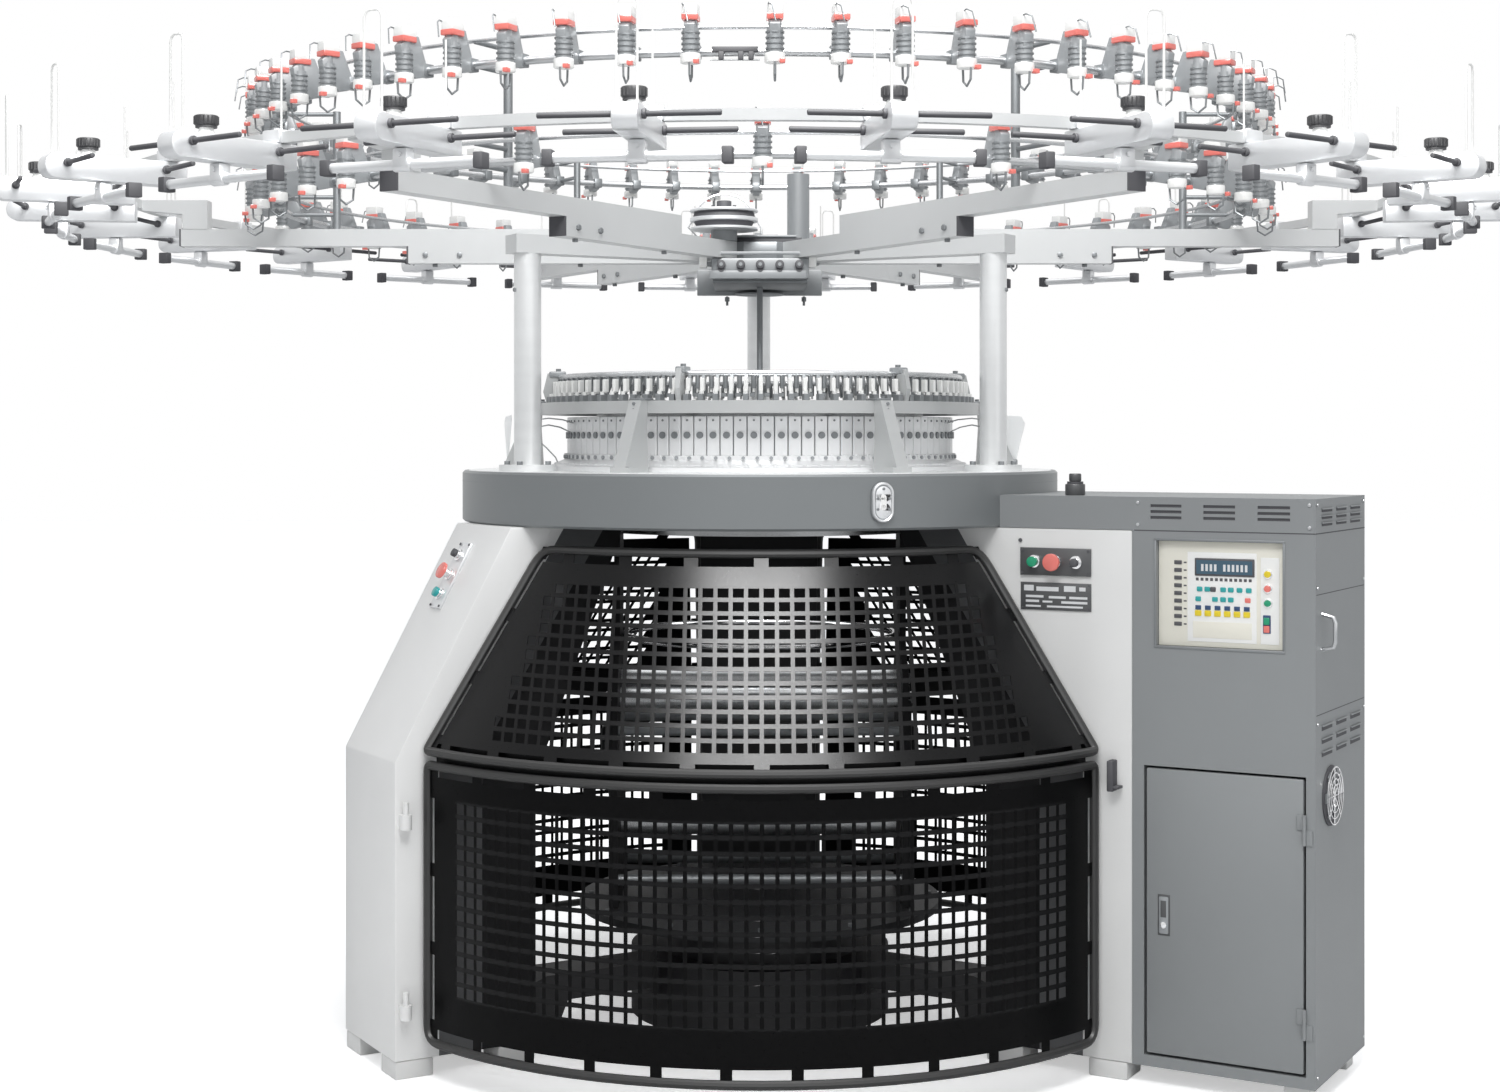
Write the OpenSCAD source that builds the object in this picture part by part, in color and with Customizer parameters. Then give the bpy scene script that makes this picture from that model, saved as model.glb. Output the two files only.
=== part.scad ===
// Single jersey circular knitting machine with an overhead yarn creel.
// The origin lies on the floor under the needle cylinder's axis: X right, Y away from the front, Z up.

/* [Bed and cylinder] */
// Radius of the needle cylinder, half of its nominal size
cylinder_r = 381; // [330:1:400]
// Wall of the needle cylinder
cylinder_wall = 14; // [8:1:20]
// Width of the round bed outside the needle cylinder
bed_rim = 309; // [290:1:330]
// Thickness of the main bed
bed_h = 116; // [90:1:140]
// Height of the bed's underside above the floor
bed_z = 1138; // [1080:1:1200]
// Bevel on the bed's upper and lower rim
bed_bevel = 5; // [2:1:10]
// Running gap around everything that turns
run_gap = 6; // [5.5:0.5:9]
// Gap between a bearing's two faces
seat_gap = 0.3; // [0.2:0.05:0.5]

/* [Legs] */
// Width of each leg housing
leg_w = 300; // [260:1:320]
// Radius of the legs' outer face
leg_out_r = 960; // [930:1:1010]
// Depth of the legs near the floor
leg_depth = 320; // [280:1:350]
// How far the outer face leans in up to the bed
leg_lean = 261; // [240:1:290]
// Height where the outer face starts to lean
leg_knee_z = 657; // [600:1:720]
// Height where the inner face starts to lean
leg_inner_knee_z = 600; // [540:1:660]
// Height of the levelling feet
foot_h = 38; // [30:1:50]
// Diameter of a levelling foot
foot_w = 85; // [60:1:95]

/* [Base] */
// Radius of the cast hub on the floor
hub_r = 300; // [260:1:340]
// Top of the hub's bearing
hub_top_z = 235; // [210:1:260]
// Width of the three cast arms
spider_w = 110; // [80:1:140]
// Top of the cast arms
spider_z = 150; // [130:1:175]
// Height of the arch under each arm
arch_z = 92; // [60:1:105]

/* [Guards] */
// How far the lower guards stand inside the legs' outer face
guard_inset = 42; // [36:1:60]
// Lower edge of the lower guards
guard_z0 = 69; // [60:1:80]
// Height where the lower guards end
guard_split_z = 661; // [610:1:710]
// Gap between the upper guards and the bed
guard_top_gap = 37; // [33:1:60]
// Thickness of the guard sheet
sheet_t = 3; // [2:0.5:4]
// Diameter of the guards' rim tube
rim_d = 20; // [16:1:22]
// Play between the gate and what stands beside it
gate_gap = 6; // [5.5:0.5:8]
// Gap between the lower and the upper guards
guard_gap = 7; // [6:0.5:10]
// Slots along the foot of each lower guard
slot_count = 8; // [4:1:10]
// Openings across the mesh window of a guard
mesh_cols = 12; // [6:2:12]
// Rows of openings in the mesh window
mesh_rows = 5; // [3:1:6]

/* [Knitting head] */
// Depth of the cam boxes around the cylinder
cam_depth = 69; // [60:1:80]
// Height of the ring under the cam boxes
cam_base_h = 36; // [28:1:44]
// Height of the cam boxes
cam_box_h = 85; // [65:1:100]
// Number of knitting feeders
feeders = 96; // [48:24:96]
// How far the yarn ring stands out over the cam boxes
yarn_lip = 60; // [50:1:70]
// Gap between the cam boxes and the yarn ring
yarn_gap = 6; // [4:1:12]
// Height of the yarn ring
yarn_ring_h = 27; // [20:1:32]
// Rise of the guide ring above the yarn ring
guide_rise = 58; // [48:1:70]
// Height of the yarn carriers
carrier_h = 46; // [35:1:52]

/* [Columns and hub] */
// Diameter of the three columns
column_d = 60; // [50:1:70]
// Height of the columns above the bed
column_h = 480; // [420:1:540]
// Section of the hollow creel beams
beam_w = 40; // [34:1:46]
// Reach of the lower creel beams
creel_low_r = 820; // [700:1:920]
// Diameter of the yarn length pulleys
pulley_d = 155; // [125:1:170]
// Height of the rear mast
mast_h = 240; // [200:1:280]
// Diameter of the rear mast
mast_d = 58; // [48:1:66]

/* [Creel] */
// Radius of the outer creel ring
creel_ring_r = 1450; // [1350:1:1550]
// Number of radial bars on the outer ring
cone_bars = 24; // [12:6:24]
// Length of the radial bars
bar_len = 280; // [240:1:330]
// Width of the radial bars
bar_w = 43; // [36:1:50]
// Height of the radial bars
bar_h = 47; // [40:1:54]
// Length of the cross rods on a bar
rod_l = 300; // [250:1:320]
// Length of the hanger tubes under the bars
hanger_l = 295; // [250:1:320]
// Height of the wire hairpins over the bars
wire_h = 170; // [120:1:190]
// Width of a wire hairpin
hairpin_w = 34; // [28:1:40]

/* [Yarn feeders] */
// Distance of the feeder rings inside the creel ring
feeder_ring_in = 350; // [300:1:400]
// Storage feeders on the upper ring
upper_feeders = 60; // [20:5:60]
// Places on the lower ring, some of which stay free
lower_places = 48; // [24:24:48]
// Rise of the lower feeder ring above the beams
low_ring_rise = 75; // [68:1:84]
// Rise of the upper feeder ring above the lower one
up_ring_rise = 189; // [170:1:210]

/* [Cabinet] */
// Width of the cabinet
cabinet_w = 380; // [340:1:440]
// Depth of the cabinet behind the leg's front face
cabinet_depth = 375; // [330:1:430]
// Wall of the cabinet
cabinet_wall = 5; // [4:0.5:8]
// Height of the box on top of the cabinet
top_box_h = 69; // [55:1:82]
// Thickness of the cabinet door
door_t = 18; // [12:1:20]
// Height of the cabinet door
door_h = 585; // [500:1:640]
// Width of the control panel's recess
panel_w = 262; // [230:1:290]
// Height of the control panel's recess
panel_h = 215; // [180:1:240]

/* [Take-down] */
// Diameter of the nip rollers
nip_d = 50; // [40:1:56]
// Diameter of the cloth roller
cloth_d = 60; // [48:1:72]
// Height of the cloth roller above the turntable
cloth_rise = 170; // [140:1:200]
// Height of the upper nip roller above the turntable
nip_rise = 505; // [480:1:540]

/* [Hidden] */

// Directions of the legs and of the three openings between them, from +X towards +Y
LEG_LEFT = 210;
LEG_RIGHT = 330;
LEG_REAR = 90;
LEGS = [LEG_LEFT, LEG_RIGHT, LEG_REAR];
FRONT = 270;
RIGHT_BACK = 30;
LEFT_BACK = 150;
THIRD = 120;
ROUND = 96;

BLACK = [0.05, 0.05, 0.06];
DARK = [0.12, 0.12, 0.13];
MID_GRAY = [0.55, 0.57, 0.58];
SILVER = [0.74, 0.75, 0.76];
LIGHT = [0.86, 0.86, 0.84];

bed_r = cylinder_r + bed_rim;
bed_top = bed_z + bed_h;
bed_bore_r = cylinder_r + run_gap + 3;
head_bore_r = cylinder_r + run_gap;

half_w = leg_w / 2;
leg_in_r = leg_out_r - leg_depth;
leg_hip_r = leg_out_r - leg_lean;
leg_top_in_r = cylinder_r + 49;
front_n = -half_w;

guard_r = leg_out_r - guard_inset;
guard_top_r = leg_hip_r - 40;
guard_z1 = bed_z - guard_top_gap;
// The side tubes of a guard are this much thinner than its rim
side_thin = 2;

cam_r = cylinder_r + cam_depth;
cam_z = bed_top + cam_base_h;
cam_top = cam_z + cam_box_h;
yarn_ring_r = cam_r + yarn_lip;
yarn_z = cam_top + yarn_gap;
yarn_top = yarn_z + yarn_ring_h;
guide_r = yarn_ring_r - 45;
guide_d = 14;
guide_z = yarn_top + guide_rise;

column_r = bed_r - 97;
column_top = bed_top + column_h;
column_beam_h = 41;
beam_half = column_d / 2;
hub_flat = 140;
hub_low_z = column_top - 54;
pulley_lift = 24;
upper_z = column_top + column_beam_h;
upper_top = upper_z + beam_w;
low_z = upper_z - beam_w;

creel_arm_r = creel_ring_r - 100;
ring_tube = 20;
bar_in_r = creel_ring_r - 30;
bar_out_r = bar_in_r + bar_len;
bar_z = upper_top;
bar_top = bar_z + bar_h;
bar_nose = 22;
rod_d = 10;
rod_z = bar_z + 30;
hanger_r = bar_out_r - 120;
hanger_d = 18;
hanger_z = bar_z - 28;
knob_r = bar_out_r - 90;
wire_d = 5;

feeder_ring_r = creel_ring_r - feeder_ring_in;
post_r = feeder_ring_r - 110;
ring_d = 16;
thin_d = 8;
thin_rise = 41;
ring_low_z = upper_z + low_ring_rise;
ring_mid_z = ring_low_z + thin_rise;
ring_up_z = ring_low_z + up_ring_rise;
ring_top_z = ring_up_z + thin_rise + 5;

cabinet_in_r = leg_out_r + 10;
cabinet_out_r = cabinet_in_r + cabinet_w;
cabinet_z0 = foot_h;
back_n = front_n + cabinet_depth;
door_play = 5;
door_u0 = cabinet_in_r + 30;
door_u1 = cabinet_out_r - 24;
door_z0 = cabinet_z0 + 28;
door_z1 = door_z0 + door_h;
panel_depth = 22;
panel_u0 = cabinet_in_r + 52;
panel_u1 = panel_u0 + panel_w;
panel_z1 = bed_z - 20;
panel_z0 = panel_z1 - panel_h;

// Button plates on the right leg's front and the left leg's leaning face
plate_l = 158;
plate_h = 58;
plate_t = 6;
plate_u = leg_hip_r + 24;
plate_z = bed_z - 99;
data_z = plate_z - 73;
button_step = 47;

turn_h = 25;
turn_r = cylinder_r + 39;
turn_z = hub_top_z + seat_gap;
turn_top = turn_z + turn_h;
frame_x = cylinder_r - 51;
frame_t = 14;
frame_half = 160;
neck_half = 70;
drive_ring_z = bed_z - 24;
drive_ring_h = 34;

hinge_r = 6;
hinge_u = guard_r + 24;
hinge_n = half_w + 18;
hinge_zs = [guard_z0 + 90, guard_split_z - 110];

// Copies of a shape about the machine's axis
module around(count, phase = 0) {
  for (i = [0 : count - 1])
    rotate([0, 0, phase + i * 360 / count]) children();
}

// Flat-faced ring standing on z = 0
module ring(r_out, r_in, h) {
  rotate_extrude($fn = ROUND)
    translate([r_in, 0]) square([r_out - r_in, h]);
}

// Round hoop about the axis at a height
module hoop(r, d, z, sides = 20) {
  translate([0, 0, z]) rotate_extrude($fn = ROUND) translate([r, 0]) circle(d = d, $fn = sides);
}

// Straight round bar between two points
module bar(a, b, d, sides = 24) {
  v = b - a;
  run = norm([v[0], v[1]]);
  translate(a) rotate([0, atan2(run, v[2]), atan2(v[1], v[0])])
    cylinder(d = d, h = norm(v), $fn = sides);
}

// Box from its low corner to its high corner
module span(low, high) {
  translate(low) cube(high - low);
}

// Upright slab with a given side outline, centred on the radial plane
module radial_slab(points, w) {
  rotate([90, 0, 0]) linear_extrude(height = w, center = true) polygon(points);
}

// Base and legs

module base_spider() {
  toe = 26;
  arm = [[hub_r - 40, spider_z], [leg_in_r - 70, spider_z], [leg_in_r, spider_z - toe], [leg_in_r, 0],
    [leg_in_r - 80, 0], [leg_in_r - 120, arch_z], [hub_r + 20, arch_z], [hub_r - 40, arch_z / 2]];
  color([0.10, 0.10, 0.11]) {
    union() {
      cylinder(r = hub_r, h = spider_z, $fn = ROUND);
      translate([0, 0, spider_z - 1]) cylinder(r = hub_r - 60, h = hub_top_z - spider_z + 1, $fn = ROUND);
      for (a = LEGS) rotate([0, 0, a]) radial_slab(arm, spider_w);
    }
  }
}

module leg_housing() {
  radial_slab([[leg_out_r, foot_h], [leg_out_r, leg_knee_z], [leg_hip_r, bed_z], [leg_top_in_r, bed_z],
    [leg_in_r, leg_inner_knee_z], [leg_in_r, foot_h]], leg_w);
}

module leg_left() {
  color(LIGHT) rotate([0, 0, LEG_LEFT]) leg_housing();
}

module leg_rear() {
  color(LIGHT) rotate([0, 0, LEG_REAR]) leg_housing();
}

module leg_right() {
  color([0.72, 0.73, 0.73]) rotate([0, 0, LEG_RIGHT])
    radial_slab([[cabinet_in_r, foot_h], [cabinet_in_r, bed_z], [leg_top_in_r, bed_z],
      [leg_in_r, leg_inner_knee_z], [leg_in_r, foot_h]], leg_w);
}

// One levelling foot: a round pad with its screw
module foot() {
  pad = 16;
  cylinder(d = foot_w, h = pad, $fn = 40);
  translate([0, 0, pad - 1]) cylinder(d = 30, h = foot_h - pad + 1, $fn = 24);
}

module leg_feet() {
  inset = foot_w / 2 + 2;
  color([0.14, 0.14, 0.15]) {
    for (a = LEGS) rotate([0, 0, a])
      for (u = [leg_in_r + inset, leg_out_r - inset], n = [inset - half_w, half_w - inset])
        translate([u, n, 0]) foot();
    rotate([0, 0, LEG_RIGHT])
      for (n = [front_n + inset, back_n - inset])
        translate([cabinet_out_r - inset, n, 0]) foot();
  }
}

// Main bed, its cover and the columns

module main_bed() {
  b = bed_bevel;
  color([0.52, 0.54, 0.55]) rotate_extrude($fn = ROUND)
    polygon([[bed_bore_r, bed_z], [bed_r - b, bed_z], [bed_r, bed_z + b], [bed_r, bed_top - b],
      [bed_r - b, bed_top], [bed_bore_r, bed_top]]);
}

// Oval cover with round ends over the hand crank's socket
module bed_crank_cover() {
  cover_az = 291;
  cover_h = 85;
  cover_w = 50;
  cover_t = 12;
  rise = (cover_h - cover_w) / 2;
  color([0.75, 0.76, 0.77]) rotate([0, 0, cover_az])
    translate([bed_r + seat_gap, 0, bed_z + bed_h / 2]) rotate([90, 0, 90]) linear_extrude(height = cover_t)
      union() {
        for (s = [-1, 1]) translate([0, s * rise]) circle(d = cover_w, $fn = 40);
        square([cover_w, 2 * rise], center = true);
      }
}

module columns() {
  flange_d = column_d + 66;
  flange_h = 15;
  color([0.80, 0.81, 0.82]) for (a = LEGS) rotate([0, 0, a])
    translate([column_r, 0, bed_top]) {
      cylinder(d = flange_d, h = flange_h, $fn = 48);
      translate([0, 0, flange_h - 1]) cylinder(d = column_d, h = column_h - flange_h + 1, $fn = 48);
    }
}

// Guards: thirds of a drum below and of a cone above, each with a tube rim and a mesh window

// Half of the angle that a guard third spans, at a radius, when its rim centre lies n off the leg's plane
function guard_half(r, n) = THIRD / 2 - asin(n / r);

// Point on a guard's side edge, on the side named by s
function edge_point(r, n, s, z) =
  let (a = s * guard_half(r, n)) [r * cos(a), r * sin(a), z];

// Rim tube seen end on, in the plane of the axis
module rim_dot(r, z) {
  translate([r, z]) circle(d = rim_d, $fn = 24);
}

// Lower guard about +X, with play between its rim and the legs
module lower_guard(play) {
  rc = guard_r - rim_d / 2;
  n = half_w + play + rim_d / 2;
  half = guard_half(rc, n);
  z0 = guard_z0 + rim_d / 2;
  z1 = guard_split_z - rim_d / 2;
  slot_h = 27;
  pitch = 2 * half / slot_count;
  tab = 16;
  slot_w = 2 * rc * sin(pitch / 2) - tab;
  side_slot = 14;
  side_at = half - asin((rim_d + side_slot / 2) / rc);
  web = 26;
  foot_band = 111;
  head_band = 45;
  side_band = 150;
  mesh_half = half - asin(side_band / rc);
  col = 2 * mesh_half / mesh_cols;
  hole_w = 2 * rc * sin(col / 2) - web;
  row = (z1 - head_band - z0 - foot_band) / mesh_rows;
  difference() {
    rotate([0, 0, -half]) rotate_extrude(angle = 2 * half, $fn = ROUND) union() {
      rim_dot(rc, z0);
      rim_dot(rc, z1);
      translate([rc - sheet_t / 2, z0]) square([sheet_t, z1 - z0]);
    }
    for (i = [0 : slot_count - 1]) rotate([0, 0, -half + (i + 0.5) * pitch])
      translate([rc - rim_d, -slot_w / 2, z0 + rim_d / 2 + 2]) cube([2 * rim_d, slot_w, slot_h]);
    for (i = [0 : mesh_cols - 1]) rotate([0, 0, -mesh_half + (i + 0.5) * col])
      for (k = [0 : mesh_rows - 1])
        translate([rc - rim_d, -hole_w / 2, z0 + foot_band + k * row + web / 2]) cube([2 * rim_d, hole_w, row - web]);
    for (s = [-1, 1], k = [0 : 2]) rotate([0, 0, s * side_at])
      translate([rc - rim_d, -side_slot / 2, z0 + slot_h * 2 + k * (z1 - z0 - 2 * slot_h) / 3])
        cube([2 * rim_d, side_slot, (z1 - z0 - 2 * slot_h) / 3 - tab]);
  }
  for (s = [-1, 1])
    bar(edge_point(rc, n - side_thin / 2, s, z0), edge_point(rc, n - side_thin / 2, s, z1), rim_d - side_thin);
}

// Upper guard about +X
module upper_guard(play) {
  r0 = guard_r - rim_d / 2;
  r1 = guard_top_r - rim_d / 2;
  n = half_w + play + rim_d / 2;
  z0 = guard_split_z + guard_gap + rim_d / 2;
  z1 = guard_z1 - rim_d / 2;
  half0 = guard_half(r0, n);
  half1 = guard_half(r1, n);
  t = sheet_t;
  side_slot = 14;
  tab = 24;
  web = 22;
  foot_band = 61;
  head_band = 54;
  low_reach = r0 * sin(half0) - 116;
  top_reach = r1 * sin(half1) - 116;
  col = 2 * low_reach / mesh_cols;
  row = (z1 - head_band - z0 - foot_band) / mesh_rows;
  slot_h = (z1 - z0 - 3 * rim_d) / 3;
  difference() {
    rotate([0, 0, -half0]) rotate_extrude(angle = 2 * half0, $fn = ROUND) union() {
      rim_dot(r0, z0);
      rim_dot(r1, z1);
      polygon([[r0 - t, z0], [r0, z0], [r1, z1], [r1 - t, z1]]);
    }
    for (s = [-1, 1]) rotate([0, 0, s * THIRD / 2])
      translate([0, s > 0 ? -n : n - 2 * guard_r, 0]) cube([guard_r + 9, 2 * guard_r, bed_z]);
    for (k = [0 : mesh_rows - 1], i = [0 : mesh_cols - 1])
      let (y = -low_reach + i * col, reach = low_reach + (top_reach - low_reach) * (k + 0.5) / mesh_rows)
      if (abs(y + col / 2) + col / 2 - web / 2 <= reach)
        translate([r1 / 2, y + web / 2, z0 + foot_band + k * row + web / 2]) cube([r0, col - web, row - web]);
    for (s = [-1, 1], k = [0 : 2]) rotate([0, 0, s * THIRD / 2])
      translate([r1 / 2, s > 0 ? -n - rim_d - side_slot : n + rim_d, z0 + rim_d * 1.5 + k * slot_h])
        cube([r0, side_slot, slot_h - tab]);
  }
  for (s = [-1, 1])
    bar(edge_point(r0, n - side_thin / 2, s, z0), edge_point(r1, n - side_thin / 2, s, z1), rim_d - side_thin);
}

module upper_guard_front() { color(BLACK) rotate([0, 0, FRONT]) upper_guard(seat_gap); }
module upper_guard_left() { color(BLACK) rotate([0, 0, LEFT_BACK]) upper_guard(seat_gap); }
module upper_guard_right() { color(BLACK) rotate([0, 0, RIGHT_BACK]) upper_guard(seat_gap); }
module lower_guard_left() { color(BLACK) rotate([0, 0, LEFT_BACK]) lower_guard(seat_gap); }
module lower_guard_right() { color(BLACK) rotate([0, 0, RIGHT_BACK]) lower_guard(seat_gap); }

module front_gate() {
  eye_h = 34;
  color(BLACK) difference() {
    union() {
      rotate([0, 0, FRONT]) lower_guard(gate_gap);
      rotate([0, 0, LEG_LEFT]) for (z = hinge_zs) {
        translate([hinge_u, hinge_n, z]) cylinder(r = hinge_r * 2, h = eye_h, $fn = 32);
        span([guard_r - rim_d - 6, hinge_n - 5, z], [hinge_u - hinge_r, hinge_n + 4, z + eye_h]);
      }
    }
    rotate([0, 0, LEG_LEFT]) for (z = hinge_zs)
      translate([hinge_u, hinge_n, z - 1]) cylinder(r = hinge_r + seat_gap, h = eye_h - 4, $fn = 32);
  }
}

module gate_hinges() {
  eye_h = 30;
  leaf_half = 9;
  color([0.3, 0.3, 0.31]) rotate([0, 0, LEG_LEFT]) for (z = hinge_zs) union() {
    translate([hinge_u, hinge_n, z - seat_gap - eye_h]) {
      cylinder(r = hinge_r * 2, h = eye_h, $fn = 32);
      cylinder(r = hinge_r, h = eye_h + 26, $fn = 32);
    }
    span([hinge_u - leaf_half, half_w, z - seat_gap - eye_h], [hinge_u + leaf_half, hinge_n, z - seat_gap]);
  }
}

// Switch box beside the gate
module gate_latch() {
  latch = [26, 28, 64];
  color(MID_GRAY) rotate([0, 0, LEG_RIGHT])
    translate([guard_r + 6, front_n - latch[1], guard_split_z + 2 - latch[2]]) cube(latch);
}

// Knitting head

module cam_base_ring() {
  lip = 40;
  step = 10;
  color([0.30, 0.31, 0.32]) translate([0, 0, bed_top]) rotate_extrude($fn = ROUND)
    polygon([[head_bore_r, 0], [cam_r + lip, 0], [cam_r + lip, step], [cam_r + 4, cam_base_h - step],
      [cam_r + 4, cam_base_h], [head_bore_r, cam_base_h]]);
}

// One cam box for each feeder, parted by narrow joints
module cam_boxes() {
  joint = 1.5;
  joint_depth = 6;
  foot = 14;
  color([0.62, 0.64, 0.66]) translate([0, 0, cam_z]) difference() {
    ring(cam_r, head_bore_r, cam_box_h);
    around(feeders, 180 / feeders)
      translate([cam_r - joint_depth, -joint / 2, foot]) cube([2 * joint_depth, joint, cam_box_h]);
  }
}

module yarn_ring() {
  inner = yarn_ring_r - 44;
  lift = 8;
  color([0.45, 0.46, 0.48]) translate([0, 0, yarn_z]) rotate_extrude($fn = ROUND)
    polygon([[head_bore_r, lift], [inner, lift], [inner, 0], [yarn_ring_r, 0],
      [yarn_ring_r, yarn_ring_h], [head_bore_r, yarn_ring_h]]);
}

// Swept brackets that carry the yarn ring, each on a flat foot
module ring_brackets() {
  foot_r = yarn_ring_r + 86;
  foot_in = cam_r + 56;
  foot_half = 24;
  color(MID_GRAY) around(6) union() {
    radial_slab([[foot_in, bed_top], [foot_r, bed_top], [foot_r, bed_top + 14],
      [yarn_ring_r + 34, yarn_z + 6], [yarn_ring_r + 26, yarn_top], [yarn_ring_r + seat_gap, yarn_top],
      [yarn_ring_r + seat_gap, yarn_z], [foot_in + 6, yarn_z - 30]], 30);
    span([foot_r - 36, -foot_half, bed_top], [foot_r, foot_half, bed_top + 12]);
  }
}

module guide_ring() {
  color([0.78, 0.79, 0.80]) hoop(guide_r, guide_d, guide_z);
}

// Hooked arm from the yarn ring up to the guide ring
module guide_arms() {
  face = guide_r + guide_d / 2 + seat_gap;
  color([0.68, 0.69, 0.70]) around(6, 2.5 * 360 / feeders) radial_slab([[yarn_ring_r - 36, yarn_top],
    [yarn_ring_r - 12, yarn_top], [yarn_ring_r - 4, yarn_top + 26], [yarn_ring_r - 14, guide_z + 10],
    [face + 0.7, guide_z + 16], [face, guide_z - 10], [yarn_ring_r - 30, guide_z - 14]], 12);
}

// Yarn carriers: a holder on the ring with a finger that leans in to the needles
module yarn_carriers() {
  r = yarn_ring_r - 8;
  color([0.88, 0.88, 0.86]) around(feeders)
    radial_slab([[r - 18, yarn_top], [r, yarn_top], [r, yarn_top + 16], [r - 12, yarn_top + carrier_h],
      [r - 18, yarn_top + carrier_h]], 7);
}

// Hub over the head

module creel_hub() {
  block = 220;
  block_front = 190;
  post = 45;
  post_rise = 20;
  plate_half = 150;
  back_t = 11;
  gusset_low = 100;
  gusset_top = 80;
  gusset_y = -100;
  gusset_h = 17;
  gusset_t = 12;
  color([0.56, 0.58, 0.60]) union() {
    translate([0, 0, column_top]) rotate([0, 0, 15])
      cylinder(r = hub_flat / cos(15), h = column_beam_h, $fn = 12);
    span([-block / 2, -block_front, hub_low_z], [block / 2, hub_flat, column_top]);
    span([-post, -post, upper_z - 1], [post, post, upper_top + post_rise]);
    span([-plate_half, hub_flat - 1, hub_low_z - 10], [plate_half, hub_flat + back_t, column_top - 2]);
    translate([0, gusset_y, 0]) rotate([90, 0, 0]) linear_extrude(height = gusset_t, center = true)
      polygon([[-gusset_low, upper_z - 5], [gusset_low, upper_z - 5], [gusset_top, upper_z + gusset_h],
        [-gusset_top, upper_z + gusset_h]]);
  }
}

module central_shaft() {
  color([0.10, 0.10, 0.11]) translate([0, 0, cam_top])
    cylinder(d = 14, h = hub_low_z - cam_top, $fn = 24);
}

// Place of the pulleys that set the yarn length
pulley_x = -82;
pulley_y = -150;

module pulley_base() {
  color([0.3, 0.3, 0.32]) translate([pulley_x, pulley_y, upper_z])
    cylinder(d = 60, h = pulley_lift, $fn = 32);
}

// Three stacked discs with belt grooves between them, and a knob
module quality_pulleys() {
  disc = 12;
  groove = 5;
  z0 = upper_z + pulley_lift + seat_gap;
  color([0.85, 0.85, 0.84]) translate([pulley_x, pulley_y, z0]) union() {
    for (i = [0 : 2]) translate([0, 0, i * (disc + groove)]) {
      cylinder(d = pulley_d, h = disc, $fn = 64);
      translate([0, 0, disc - 1]) cylinder(d = pulley_d - 24, h = groove + 2, $fn = 64);
    }
    translate([0, 0, 3 * (disc + groove)]) cylinder(d = 34, h = 16, $fn = 32);
  }
}

module rear_mast() {
  mast_x = 103;
  plate = 36;
  color([0.75, 0.76, 0.77]) {
    translate([mast_x, column_r, upper_z]) cylinder(d = mast_d, h = mast_h, $fn = 40);
    span([beam_half, column_r - mast_d / 2, upper_z - plate],
      [mast_x + mast_d / 2 + 4, column_r + mast_d / 2, upper_z]);
  }
}

module creel_arms_upper() {
  start = 380;
  color([0.60, 0.62, 0.63]) around(6)
    span([start, -beam_w / 2, upper_z], [creel_arm_r, beam_w / 2, upper_top]);
}

module creel_arms_lower() {
  color(MID_GRAY) around(6)
    span([hub_flat, -beam_w / 2, low_z], [creel_low_r, beam_w / 2, upper_z]);
}

module column_beams() {
  over = 40;
  color(MID_GRAY) for (a = LEGS) rotate([0, 0, a])
    span([hub_flat, -beam_half, column_top], [column_r + over, beam_half, upper_z]);
}

module beam_caps() {
  cap = 4;
  color([0.08, 0.08, 0.08]) around(6) {
    span([creel_arm_r, -beam_w / 2, upper_z], [creel_arm_r + cap, beam_w / 2, upper_top]);
    span([creel_low_r, -beam_w / 2, low_z], [creel_low_r + cap, beam_w / 2, upper_z]);
  }
}

// Outer creel

module creel_ring() {
  color([0.66, 0.68, 0.69]) translate([0, 0, bar_top])
    ring(creel_ring_r + ring_tube / 2, creel_ring_r - ring_tube / 2, ring_tube);
}

// Block at the end of each beam that holds the ring
module ring_blocks() {
  u0 = creel_arm_r - 62;
  u1 = creel_arm_r - 4;
  u2 = creel_ring_r - ring_tube / 2 - seat_gap;
  color(MID_GRAY) around(6) radial_slab([[u0, upper_top], [u1, upper_top], [u1, bar_top - 12],
    [u2, bar_top - 4], [u2, bar_top + ring_tube], [u0, bar_top + ring_tube]], 44);
}

// Radial bars with a rounded nose
module cone_bars() {
  color([0.72, 0.74, 0.75]) around(cone_bars, 180 / cone_bars) rotate([90, 0, 0])
    linear_extrude(height = bar_w, center = true) union() {
      translate([bar_in_r, bar_z]) square([bar_len - bar_nose, bar_h]);
      translate([bar_in_r, bar_z]) square([bar_len, bar_h - bar_nose]);
      translate([bar_out_r - bar_nose, bar_top - bar_nose]) circle(r = bar_nose, $fn = 48);
    }
}

module cone_rods() {
  color([0.08, 0.08, 0.08]) around(cone_bars, 180 / cone_bars)
    for (r = [bar_in_r + 44, bar_out_r - 42], s = [-1, 1])
      bar([r, s * bar_w / 2, rod_z], [r, s * rod_l / 2, rod_z], rod_d);
}

// Tubes that hang under the bars, each in a clamp
module hanger_tubes() {
  clamp = 26;
  color(SILVER) around(cone_bars, 180 / cone_bars) union() {
    bar([hanger_r, -hanger_l / 2, hanger_z], [hanger_r, hanger_l / 2, hanger_z], hanger_d);
    bar([hanger_r, -clamp / 2 - 4, hanger_z], [hanger_r, clamp / 2 + 4, hanger_z], hanger_d + 8);
    span([hanger_r - clamp / 2, -clamp / 2, hanger_z], [hanger_r + clamp / 2, clamp / 2, bar_z]);
  }
}

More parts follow.
